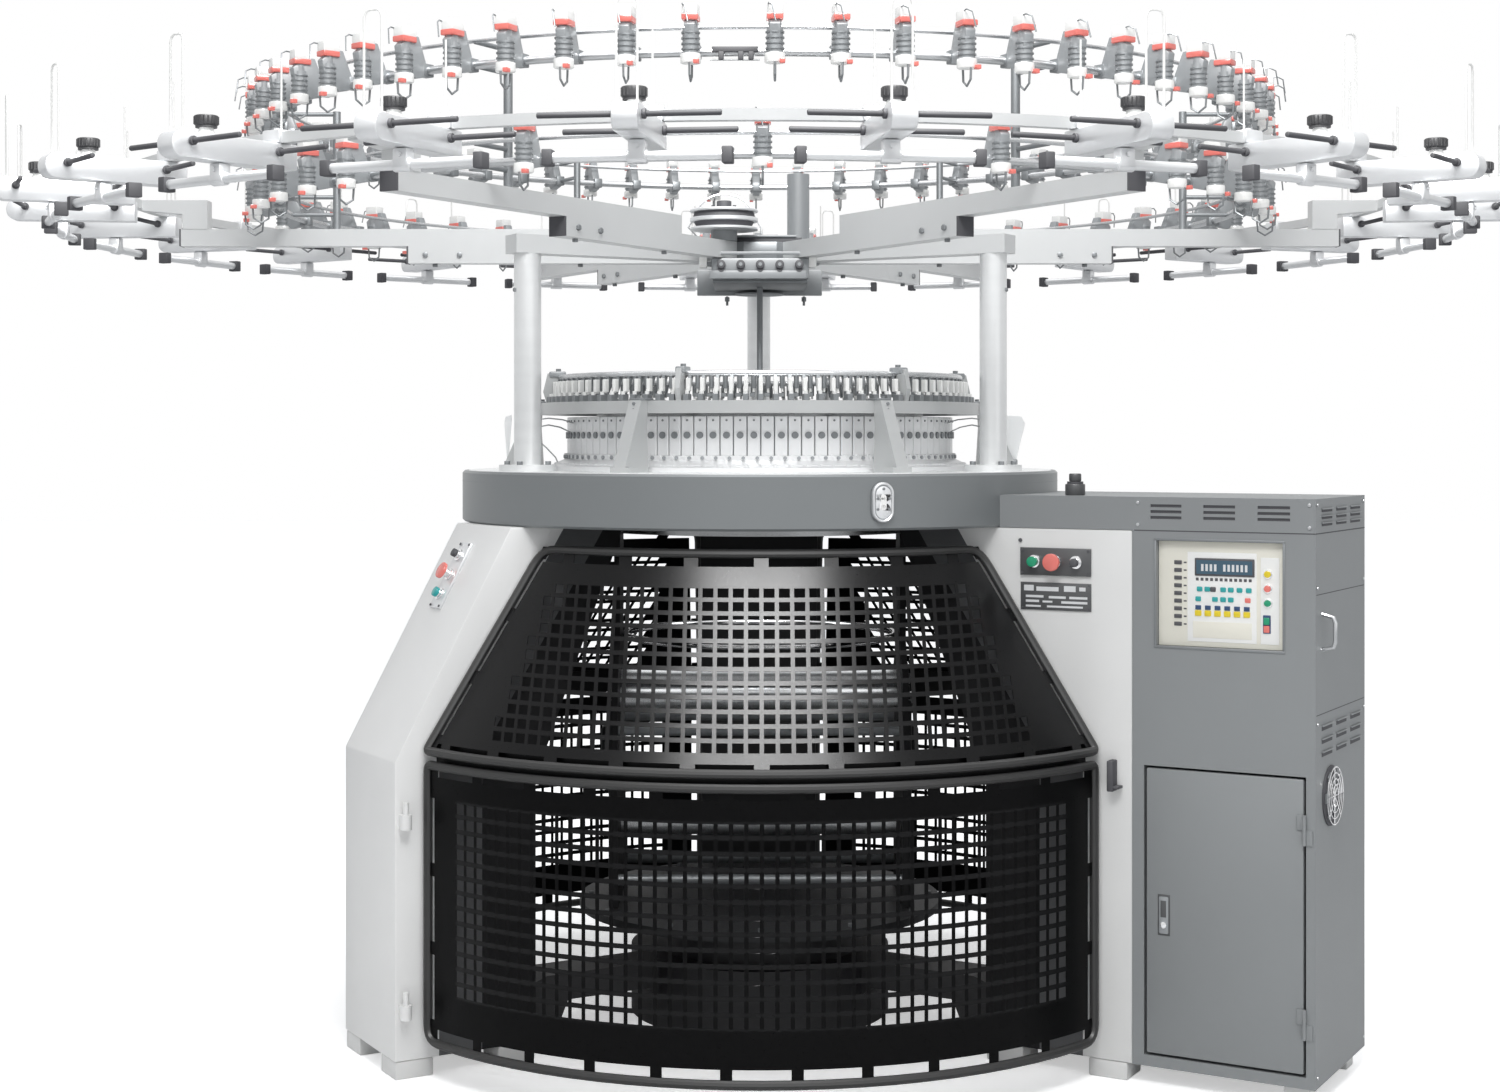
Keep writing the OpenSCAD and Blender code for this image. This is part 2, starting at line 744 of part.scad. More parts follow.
module hanger_caps() {
  cap = 27;
  cap_t = 10;
  color([0.06, 0.06, 0.06]) around(cone_bars, 180 / cone_bars) for (s = [-1, 1])
    translate([hanger_r - cap / 2, s > 0 ? hanger_l / 2 : -hanger_l / 2 - cap_t, hanger_z - cap / 2])
      cube([cap, cap_t, cap]);
}

// Tension knobs: a neck, a washer and a ribbed cup
module knob_cups() {
  color(DARK) around(cone_bars, 180 / cone_bars)
    translate([knob_r, 0, bar_top]) union() {
      cylinder(d1 = 30, d2 = 24, h = 13, $fn = 32);
      translate([0, 0, 12]) cylinder(d = 38, h = 5, $fn = 32);
      translate([0, 0, 16]) cylinder(d = 43, h = 18, $fn = 32);
    }
}

// White wire hairpins that carry the yarn eyelets
module wire_posts() {
  bend = hairpin_w / 2;
  leg = wire_h - bend - wire_d / 2;
  color([0.92, 0.92, 0.90]) around(cone_bars, 180 / cone_bars) translate([bar_out_r - bar_nose - 4, 0, bar_top])
    union() {
      for (s = [-1, 1]) translate([0, s * bend, 0]) cylinder(d = wire_d, h = leg, $fn = 16);
      translate([0, 0, leg]) rotate([90, 0, 90]) rotate_extrude(angle = 180, $fn = 32)
        translate([bend, 0]) circle(d = wire_d, $fn = 16);
    }
}

// Posts on the beams with a short arm to each feeder ring
module ring_posts() {
  post_d = 18;
  arm_d = 10;
  color(DARK) around(6) union() {
    translate([post_r, 0, upper_top]) cylinder(d = post_d, h = ring_top_z - upper_top + 6, $fn = 24);
    for (held = [[ring_low_z, ring_d], [ring_mid_z, thin_d], [ring_up_z, ring_d], [ring_top_z, thin_d]])
      bar([post_r, 0, held[0]], [feeder_ring_r - held[1] / 2 - seat_gap, 0, held[0]], arm_d);
  }
}

module feeder_ring_upper() {
  color([0.7, 0.71, 0.72]) {
    hoop(feeder_ring_r, ring_d, ring_up_z, 16);
    hoop(feeder_ring_r, thin_d, ring_top_z, 16);
  }
}

module feeder_ring_lower() {
  color([0.7, 0.71, 0.72]) {
    hoop(feeder_ring_r, ring_d, ring_low_z, 16);
    hoop(feeder_ring_r, thin_d, ring_mid_z, 16);
  }
}

// Storage feeder on a ring at height z: a swept body, a head box and a grooved bobbin with its foot
module yarn_feeder(z) {
  r = feeder_ring_r + ring_d / 2 + seat_gap;
  body_w = 22;
  head = 32;
  axis = r + 47;
  radial_slab([[r, z - 14], [r + 26, z - 20], [r + 40, z - 8], [r + 40, z + 62], [r + 18, z + 62], [r, z + 14]],
    body_w);
  span([r + 26, -head / 2, z + 44], [r + 66, head / 2, z + 78]);
  translate([axis, 0, z]) rotate_extrude($fn = 24)
    polygon([[0, -30], [19, -30], [19, -14], [15, -11], [15, -3], [17, -1], [17, 2], [15, 4], [15, 14], [17, 16],
      [17, 19], [15, 21], [15, 45], [0, 45]]);
}

// The front of the upper ring has its joint, so that two feeders stand wider apart there
upper_gap = 7.6;
upper_first = 1.1;

// The lower ring leaves the beams free, and in front carries only every third feeder
function low_feeder_here(a) =
  let (off = abs(a - FRONT))
  a % 60 != 0 && (off > 48 || off % 22.5 == 0);

module feeders_upper() {
  step = (360 - upper_gap) / (upper_feeders - 1);
  color([0.85, 0.86, 0.86]) for (i = [0 : upper_feeders - 1])
    rotate([0, 0, FRONT + upper_first + i * step]) yarn_feeder(ring_up_z);
}

module feeders_lower() {
  step = 360 / lower_places;
  color([0.85, 0.86, 0.86]) for (i = [0 : lower_places - 1]) if (low_feeder_here(i * step))
    rotate([0, 0, i * step]) yarn_feeder(ring_low_z);
}

// Cabinet on the right leg

// Box beside the bed with three groups of vent slots in its front
module top_box() {
  vent_w = 66;
  vent_h = 6;
  vent_pitch = 112;
  vent_step = 12;
  vent_depth = 4;
  vent_u = cabinet_out_r - 117;
  color([0.60, 0.62, 0.63]) difference() {
    rotate([0, 0, LEG_RIGHT]) span([bed_r - 60, front_n, bed_z], [cabinet_out_r, back_n, bed_z + top_box_h]);
    cylinder(r = bed_r + seat_gap, h = bed_top + top_box_h, $fn = ROUND);
    rotate([0, 0, LEG_RIGHT]) for (g = [0 : 2], k = [0 : 2])
      translate([vent_u - g * vent_pitch, front_n - 1, bed_z + 24 + k * vent_step])
        cube([vent_w, vent_depth + 1, vent_h]);
  }
}

module top_lamp() {
  color([0.2, 0.2, 0.21]) rotate([0, 0, LEG_RIGHT])
    translate([bed_r + 135, front_n + 50, bed_z + top_box_h]) cylinder(d = 42, h = 46, $fn = 32);
}

module cabinet_body() {
  w = cabinet_wall;
  head = 60;
  color(MID_GRAY) rotate([0, 0, LEG_RIGHT]) difference() {
    span([cabinet_in_r, front_n, cabinet_z0], [cabinet_out_r, back_n, bed_z]);
    span([cabinet_in_r + w, front_n + door_t + 8, cabinet_z0 + w],
      [cabinet_out_r - w, back_n - w, door_z1 + head]);
    span([door_u0 - door_play, front_n - 1, door_z0 - door_play],
      [door_u1 + door_play, front_n + door_t + 9, door_z1 + door_play]);
    span([panel_u0, front_n - 1, panel_z0], [panel_u1, front_n + panel_depth, panel_z1]);
  }
}

door_axis_u = door_u1 + door_play / 2;
door_axis_n = front_n - 5;
knuckle_r = 4;
knuckle_h = 30;
leaf_t = 3;
leaf_l = 16;
door_hinge_zs = [door_z0 + 70, door_z1 - 130];

// One leaf of a door hinge with its knuckle, reaching to the side named by s
module hinge_leaf(s, z) {
  translate([door_axis_u, door_axis_n, z]) cylinder(r = knuckle_r, h = knuckle_h, $fn = 24);
  span([min(door_axis_u, door_axis_u + s * leaf_l), front_n - leaf_t, z],
    [max(door_axis_u, door_axis_u + s * leaf_l), front_n, z + knuckle_h]);
}

module door_hinges() {
  color([0.45, 0.46, 0.47]) rotate([0, 0, LEG_RIGHT])
    for (z = door_hinge_zs) union() hinge_leaf(1, z);
}

// Door: a folded tray with a flush lock and its hinge leaves
module cabinet_door() {
  sheet = 3;
  lock_d = 26;
  color(MID_GRAY) rotate([0, 0, LEG_RIGHT]) union() {
    difference() {
      span([door_u0, front_n, door_z0], [door_u1, front_n + door_t, door_z1]);
      span([door_u0 + sheet, front_n + sheet, door_z0 + sheet],
        [door_u1 - sheet, front_n + door_t + 1, door_z1 - sheet]);
    }
    translate([door_u0 + 24, front_n + 1, door_z0 + door_h * 0.62]) rotate([90, 0, 0])
      cylinder(d = lock_d, h = 4, $fn = 32);
    for (z = door_hinge_zs) hinge_leaf(-1, z + knuckle_h + seat_gap);
  }
}

// Panel in its recess, with a display, two rows of keys and three lamps
module control_panel() {
  plate = 10;
  face_n = front_n + panel_depth - plate;
  rise = 4;
  key = 15;
  color([0.90, 0.89, 0.86]) rotate([0, 0, LEG_RIGHT]) union() {
    span([panel_u0, face_n, panel_z0], [panel_u1, face_n + plate, panel_z1]);
    span([panel_u0 + 26, face_n - rise, panel_z1 - 78], [panel_u0 + 170, face_n + 1, panel_z1 - 24]);
    for (i = [0 : 5], k = [0 : 1])
      translate([panel_u0 + 28 + i * 25, face_n - rise, panel_z1 - 118 - k * 28]) cube([key, rise + 1, key]);
    for (k = [0 : 2]) translate([panel_u1 - 38, face_n + 1, panel_z1 - 42 - k * 40]) rotate([90, 0, 0])
      cylinder(d = key, h = rise + 5, $fn = 24);
  }
}

// Round fan guard of rings and spokes on the cabinet's side
module side_fan() {
  fan_r = 60;
  guard_h = 10;
  bars = 6;
  color(DARK) rotate([0, 0, LEG_RIGHT])
    translate([cabinet_out_r, front_n + 108, bed_z - 531]) rotate([0, 90, 0]) union() {
      ring(fan_r, fan_r - 8, guard_h);
      ring(fan_r - 20, fan_r - 24, guard_h);
      cylinder(r = 18, h = guard_h, $fn = 32);
      around(bars) translate([15, -2, guard_h - 5]) cube([fan_r - 19, 4, 4]);
    }
}

// Where the leaning face of the left leg points, and its middle under the plate
lean_run = bed_z - leg_knee_z;
lean_a = atan2(leg_lean, lean_run);
left_plate_z = bed_z - 111;
left_plate_n = -29;
left_plate_u = leg_hip_r + (bed_z - left_plate_z) * leg_lean / lean_run;

// Puts children on the left leg's leaning face: x along the slope, y across, z out of the face
module on_left_lean() {
  rotate([0, 0, LEG_LEFT]) translate([left_plate_u, left_plate_n, left_plate_z]) rotate([0, 90 - lean_a, 0]) children();
}

// Puts children on the right leg's front: x along the face, y up, z out of the face
module on_right_front(u, z) {
  rotate([0, 0, LEG_RIGHT]) translate([u, front_n, z]) rotate([90, 0, 0]) children();
}

module button_plates() {
  color([0.35, 0.36, 0.37]) {
    on_right_front(plate_u, plate_z) cube([plate_l, plate_h, plate_t]);
    on_right_front(plate_u, data_z) cube([plate_l, plate_h, plate_t / 2]);
    on_left_lean() translate([-plate_l / 2, -plate_h / 2, 0]) cube([plate_l, plate_h, plate_t]);
  }
}

// Round push button with its bezel, on a plate
module push_button(d, rise) {
  bezel_d = 28;
  bezel_h = 5;
  union() {
    cylinder(d = bezel_d, h = bezel_h, $fn = 32);
    translate([0, 0, bezel_h - 1]) cylinder(d = 18, h = rise, $fn = 32);
    translate([0, 0, bezel_h + rise - 10]) cylinder(d = d, h = 9, $fn = 32);
  }
}

// Start button, stop mushroom and selector on each plate
module push_buttons() {
  sizes = [[22, 12], [37, 22], [20, 14]];
  color([0.70, 0.20, 0.18]) {
    for (i = [0 : 2]) on_right_front(plate_u + plate_l / 2 + (i - 1) * button_step, plate_z + plate_h / 2)
      translate([0, 0, plate_t]) push_button(sizes[i][0], sizes[i][1]);
    for (i = [0 : 2]) on_left_lean()
      translate([(i - 1) * button_step, 0, plate_t]) push_button(sizes[2 - i][0], sizes[2 - i][1]);
  }
}

// Everything that turns with the needle cylinder

module needle_cylinder() {
  top = yarn_top - 6;
  drive_w = 60;
  color([0.70, 0.71, 0.72]) union() {
    translate([0, 0, drive_ring_z]) ring(cylinder_r, cylinder_r - drive_w, drive_ring_h);
    translate([0, 0, drive_ring_z]) ring(cylinder_r, cylinder_r - cylinder_wall, top - drive_ring_z);
  }
}

module turntable() {
  step = 8;
  color([0.22, 0.23, 0.24]) translate([0, 0, turn_z]) rotate_extrude($fn = ROUND)
    polygon([[0, 0], [turn_r - 3 * step, 0], [turn_r - 3 * step, step], [turn_r, step], [turn_r, turn_h],
      [0, turn_h]]);
}

// Two cast side plates with a round opening each
module takedown_frame() {
  shoulder = turn_top + nip_rise + 15;
  neck = shoulder + 80;
  window_d = 120;
  color([0.30, 0.31, 0.32]) for (s = [-1, 1])
    translate([s * frame_x, 0, 0]) rotate([90, 0, 90]) linear_extrude(height = frame_t, center = true)
      difference() {
        polygon([[-frame_half, turn_top], [frame_half, turn_top], [frame_half, shoulder], [neck_half, neck],
          [neck_half, drive_ring_z], [-neck_half, drive_ring_z], [-neck_half, neck], [-frame_half, shoulder]]);
        translate([0, turn_top + cloth_rise + cloth_d + window_d]) circle(d = window_d, $fn = 48);
      }
}

roller_l = 2 * frame_x - frame_t - 2 * seat_gap;

// Roller lying along X between the frame plates
module roller(y, z, d) {
  translate([-roller_l / 2, y, z]) rotate([0, 90, 0]) cylinder(d = d, h = roller_l, $fn = 40);
}

// Upper roller with two lower ones that nip the cloth on it
module takedown_rollers() {
  nip_y = nip_d + 6;
  nip_z = turn_top + nip_rise;
  color([0.70, 0.71, 0.72]) {
    roller(0, nip_z, nip_d);
    for (s = [-1, 1]) roller(s * nip_y, nip_z - nip_d * 0.8, nip_d);
  }
}

module cloth_roller() {
  color([0.62, 0.63, 0.64]) roller(0, turn_top + cloth_rise, cloth_d);
}

// Hoop that spreads the tube of cloth above the rollers
module cloth_spreader() {
  hoop_d = 16;
  color([0.75, 0.76, 0.77])
    hoop(frame_x - frame_t / 2 - hoop_d / 2 - seat_gap, hoop_d, turn_top + nip_rise + 105, 16);
}

base_spider();
leg_left();
leg_right();
leg_rear();
leg_feet();
main_bed();
bed_crank_cover();
columns();
upper_guard_front();
upper_guard_left();
upper_guard_right();
front_gate();
lower_guard_left();
lower_guard_right();
gate_hinges();
gate_latch();
cam_base_ring();
cam_boxes();
yarn_ring();
ring_brackets();
guide_ring();
guide_arms();
yarn_carriers();
creel_hub();
central_shaft();
pulley_base();
quality_pulleys();
rear_mast();
creel_arms_upper();
creel_arms_lower();
column_beams();
beam_caps();
creel_ring();
ring_blocks();
cone_bars();
cone_rods();
hanger_tubes();
hanger_caps();
knob_cups();
wire_posts();
ring_posts();
feeder_ring_upper();
feeder_ring_lower();
feeders_upper();
feeders_lower();
top_box();
top_lamp();
cabinet_body();
door_hinges();
cabinet_door();
control_panel();
side_fan();
button_plates();
push_buttons();
needle_cylinder();
turntable();
takedown_frame();
takedown_rollers();
cloth_roller();
cloth_spreader();
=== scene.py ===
"""Single jersey circular knitting machine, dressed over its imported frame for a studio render."""

from __future__ import annotations

import logging
import math
from collections.abc import Callable, Iterable, Sequence
from dataclasses import dataclass
from enum import Enum

import bmesh
import bpy
from mathutils import Matrix, Vector

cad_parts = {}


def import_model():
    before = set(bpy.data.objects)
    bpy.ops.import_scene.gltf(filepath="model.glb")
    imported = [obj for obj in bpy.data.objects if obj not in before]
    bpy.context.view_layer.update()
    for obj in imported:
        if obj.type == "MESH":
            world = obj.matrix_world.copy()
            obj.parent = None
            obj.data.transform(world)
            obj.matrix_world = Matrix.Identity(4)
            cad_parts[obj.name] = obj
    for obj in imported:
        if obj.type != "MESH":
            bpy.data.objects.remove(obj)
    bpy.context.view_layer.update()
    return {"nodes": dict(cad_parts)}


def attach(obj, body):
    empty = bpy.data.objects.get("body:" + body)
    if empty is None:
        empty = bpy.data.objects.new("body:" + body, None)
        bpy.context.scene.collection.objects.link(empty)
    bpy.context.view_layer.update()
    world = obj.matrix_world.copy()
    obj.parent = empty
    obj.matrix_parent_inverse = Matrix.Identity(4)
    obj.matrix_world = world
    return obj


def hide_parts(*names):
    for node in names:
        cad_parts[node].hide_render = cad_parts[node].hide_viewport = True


LOG = logging.getLogger("knitting_machine")

Flat = tuple[float, float]
Point = tuple[float, float, float]
Verts = list[bmesh.types.BMVert]

# Sizes are in millimetres and turn into metres when a piece is finished.
MM = 0.001

# Azimuths are in degrees, anticlockwise from above, with the front of the machine at 270.
FRONT = 270.0
LEG_LEFT = 210.0
LEG_RIGHT = 330.0
LEG_REAR = 90.0
LEGS = (LEG_LEFT, LEG_RIGHT, LEG_REAR)

# Sizes that several parts of the machine share.
HALF_LEG = 150.0
BED_TOP = 1254.0
BODY_TOP = 1138.0
FLOOR_GAP = 38.0

# Values that every finish shares.
COAT_ROUGH = 0.08
ROUGH_SPREAD = 0.07
BROAD_SCALE = 3.5
GROUND_STRETCH = (1.0, 1.0, 12.0)
BUMP_STRENGTH = 0.5


def polar(radius: float, azimuth: float) -> Flat:
    """Returns the two coordinates of a point at a radius and an angle in degrees."""
    return radius * math.cos(math.radians(azimuth)), radius * math.sin(math.radians(azimuth))


def spin_about(azimuth: float, axis: str = "Z") -> Matrix:
    """Returns the turn by an angle in degrees about a main axis."""
    return Matrix.Rotation(math.radians(azimuth), 3, axis)


class Texture(Enum):
    """How a finish is broken up close to."""

    POWDER = "powder coat"
    CAST = "sand casting"
    GROUND = "ground steel"
    PLAIN = "moulded plastic"
    MESHED = "fine knurl"


@dataclass(frozen=True)
class Finish:
    """One surface finish, built as a node material.

    Attributes:
        name: Name of the material.
        colour: Linear base colour.
        metallic: Share of bare metal.
        rough: Mean roughness.
        texture: How the surface is broken up.
        grain: Size of one grain in millimetres.
        relief: Height of the grain in millimetres.
        shade: Share by which the colour varies.
        coat: Weight of a clear coat.
        gloss: Strength of the plain reflection.
    """

    name: str
    colour: tuple[float, float, float]
    metallic: float = 0.0
    rough: float = 0.45
    texture: Texture = Texture.POWDER
    grain: float = 3.0
    relief: float = 0.04
    shade: float = 0.06
    coat: float = 0.0
    gloss: float = 0.5

    def material(self) -> bpy.types.Material:
        """Builds the finish once and returns it afterwards.

        Returns:
            The node material.
        """
        found = bpy.data.materials.get(self.name)
        if found is not None:
            return found
        made = bpy.data.materials.new(self.name)
        made.use_nodes = True
        made.diffuse_color = (*self.colour, 1.0)
        nodes, links = made.node_tree.nodes, made.node_tree.links
        shader = nodes["Principled BSDF"]
        shader.inputs["Metallic"].default_value = self.metallic
        shader.inputs["Coat Weight"].default_value = self.coat
        shader.inputs["Coat Roughness"].default_value = COAT_ROUGH
        shader.inputs["Specular IOR Level"].default_value = self.gloss
        place = nodes.new("ShaderNodeTexCoord")
        stretch = nodes.new("ShaderNodeMapping")
        links.new(place.outputs["Object"], stretch.inputs["Vector"])
        if self.texture is Texture.GROUND:
            stretch.inputs["Scale"].default_value = GROUND_STRETCH
        fine = nodes.new("ShaderNodeTexNoise")
        fine.inputs["Scale"].default_value = 1.0 / (self.grain * MM)
        fine.inputs["Detail"].default_value = 3.0
        broad = nodes.new("ShaderNodeTexNoise")
        broad.inputs["Scale"].default_value = BROAD_SCALE
        broad.inputs["Detail"].default_value = 4.0
        for noise in (fine, broad):
            links.new(stretch.outputs["Vector"], noise.inputs["Vector"])
        tint = nodes.new("ShaderNodeMix")
        tint.data_type = "RGBA"
        low = [c * (1.0 - self.shade) for c in self.colour]
        high = [min(1.0, c * (1.0 + self.shade)) for c in self.colour]
        tint.inputs["A"].default_value = (*low, 1.0)
        tint.inputs["B"].default_value = (*high, 1.0)
        links.new(broad.outputs["Fac"], tint.inputs["Factor"])
        links.new(tint.outputs["Result"], shader.inputs["Base Color"])
        gloss = nodes.new("ShaderNodeMapRange")
        gloss.inputs["To Min"].default_value = max(0.02, self.rough - ROUGH_SPREAD)
        gloss.inputs["To Max"].default_value = min(1.0, self.rough + ROUGH_SPREAD)
        source = broad if self.texture is Texture.PLAIN else fine
        links.new(source.outputs["Fac"], gloss.inputs["Value"])
        links.new(gloss.outputs["Result"], shader.inputs["Roughness"])
        if self.relief > 0.0:
            bump = nodes.new("ShaderNodeBump")
            bump.inputs["Strength"].default_value = BUMP_STRENGTH
            bump.inputs["Distance"].default_value = self.relief * MM
            height = fine
            if self.texture is Texture.MESHED:
                height = nodes.new("ShaderNodeTexVoronoi")
                height.inputs["Scale"].default_value = 1.0 / (self.grain * MM)
                links.new(stretch.outputs["Vector"], height.inputs["Vector"])
            out = "Distance" if self.texture is Texture.MESHED else "Fac"
            links.new(height.outputs[out], bump.inputs["Height"])
            links.new(bump.outputs["Normal"], shader.inputs["Normal"])
        return made


class Paint:
    """Every finish on the machine."""

    LEG_LIGHT = Finish("leg_powder_light", (0.80, 0.80, 0.79), rough=0.42, grain=2.5)
    LEG_GRAY = Finish("leg_powder_pale", (0.70, 0.70, 0.69), rough=0.45, grain=2.5)
    MID_GRAY = Finish("machine_gray", (0.30, 0.315, 0.325), rough=0.42, grain=3.0)
    BED_GRAY = Finish("bed_gray", (0.195, 0.208, 0.213), metallic=0.25, rough=0.38, grain=2.0)
    CABINET = Finish("cabinet_gray", (0.235, 0.247, 0.252), rough=0.5, grain=2.0, relief=0.05)
    BEAM_GRAY = Finish("beam_gray", (0.60, 0.61, 0.61), metallic=0.15, rough=0.38)
    RING_GRAY = Finish("ring_gray", (0.46, 0.47, 0.47), metallic=0.25, rough=0.36, grain=2.0)
    BLACK_CAST = Finish("black_casting", (0.018, 0.018, 0.02), rough=0.5, texture=Texture.CAST,
                        grain=5.0, relief=0.25)
    GLOSS_BLACK = Finish("gloss_black", (0.006, 0.006, 0.0065), rough=0.2, relief=0.005, gloss=0.25)
    GUARD_BLACK = Finish("guard_black", (0.004, 0.004, 0.0045), rough=0.3, relief=0.008, gloss=0.16)
    # Painted shade: dark finishes for the shade that the guards cast on the legs' inner faces and on the
    # take-down gear.
    SHADE_BLACK = Finish("painted_shade_black", (0.012, 0.012, 0.013), rough=0.6, gloss=0.2)
    SHADE_GRAY = Finish("painted_shade_gray", (0.11, 0.112, 0.115), rough=0.6, gloss=0.2)
    SHADE_STEEL = Finish("painted_shade_steel", (0.03, 0.031, 0.033), metallic=0.3, rough=0.45, gloss=0.3)
    BLACK_PLASTIC = Finish("black_plastic", (0.02, 0.02, 0.022), rough=0.5, texture=Texture.PLAIN, grain=1.0)
    GRIP = Finish("grip_black", (0.03, 0.03, 0.033), rough=0.55, texture=Texture.MESHED, grain=1.5,
                  relief=0.3)
    WHITE_PLASTIC = Finish("white_plastic", (0.80, 0.80, 0.77), rough=0.3, texture=Texture.PLAIN, relief=0.0)
    OFF_WHITE = Finish("panel_face", (0.79, 0.77, 0.68), rough=0.4, texture=Texture.PLAIN, relief=0.0)
    SILVER = Finish("satin_silver", (0.66, 0.67, 0.68), metallic=0.75, rough=0.3, texture=Texture.GROUND,
                    grain=1.0, relief=0.01)
    COLUMN = Finish("column_silver", (0.73, 0.74, 0.74), metallic=0.35, rough=0.3, texture=Texture.GROUND,
                    grain=1.0, relief=0.01)
    ALUMINIUM = Finish("drawn_aluminium", (0.70, 0.71, 0.72), metallic=0.55, rough=0.36, grain=1.5)
    STEEL = Finish("ground_steel", (0.52, 0.53, 0.54), metallic=0.9, rough=0.28, texture=Texture.GROUND,
                   grain=1.2, relief=0.01)
    DARK_STEEL = Finish("dark_steel", (0.07, 0.073, 0.078), metallic=0.5, rough=0.4, grain=2.0)
    CAM_PLATE = Finish("cam_plate_silver", (0.74, 0.745, 0.75), metallic=0.15, rough=0.32, grain=1.5,
                       relief=0.01)
    CLEAR_WHITE = Finish("clear_white", (0.86, 0.87, 0.87), rough=0.25, texture=Texture.PLAIN, relief=0.0)
    CHROME = Finish("chrome", (0.72, 0.73, 0.74), metallic=1.0, rough=0.1, relief=0.0, shade=0.02)
    WIRE = Finish("white_wire", (0.82, 0.82, 0.80), rough=0.35, texture=Texture.PLAIN, relief=0.0)
    RED = Finish("red_plastic", (0.62, 0.03, 0.025), rough=0.3, texture=Texture.PLAIN, relief=0.0)
    GREEN = Finish("green_plastic", (0.01, 0.32, 0.16), rough=0.3, texture=Texture.PLAIN, relief=0.0)
    TEAL = Finish("teal_plastic", (0.02, 0.36, 0.36), rough=0.3, texture=Texture.PLAIN, relief=0.0)
    YELLOW = Finish("yellow_plastic", (0.80, 0.62, 0.02), rough=0.3, texture=Texture.PLAIN, relief=0.0)
    PLATE = Finish("plate_gray", (0.085, 0.087, 0.09), metallic=0.2, rough=0.4, grain=1.5)
    DISPLAY_KEY = Finish("key_blue", (0.02, 0.06, 0.16), rough=0.3, texture=Texture.PLAIN, relief=0.0)
    DISPLAY = Finish("display_blue", (0.06, 0.12, 0.17), rough=0.15, texture=Texture.PLAIN, relief=0.0)


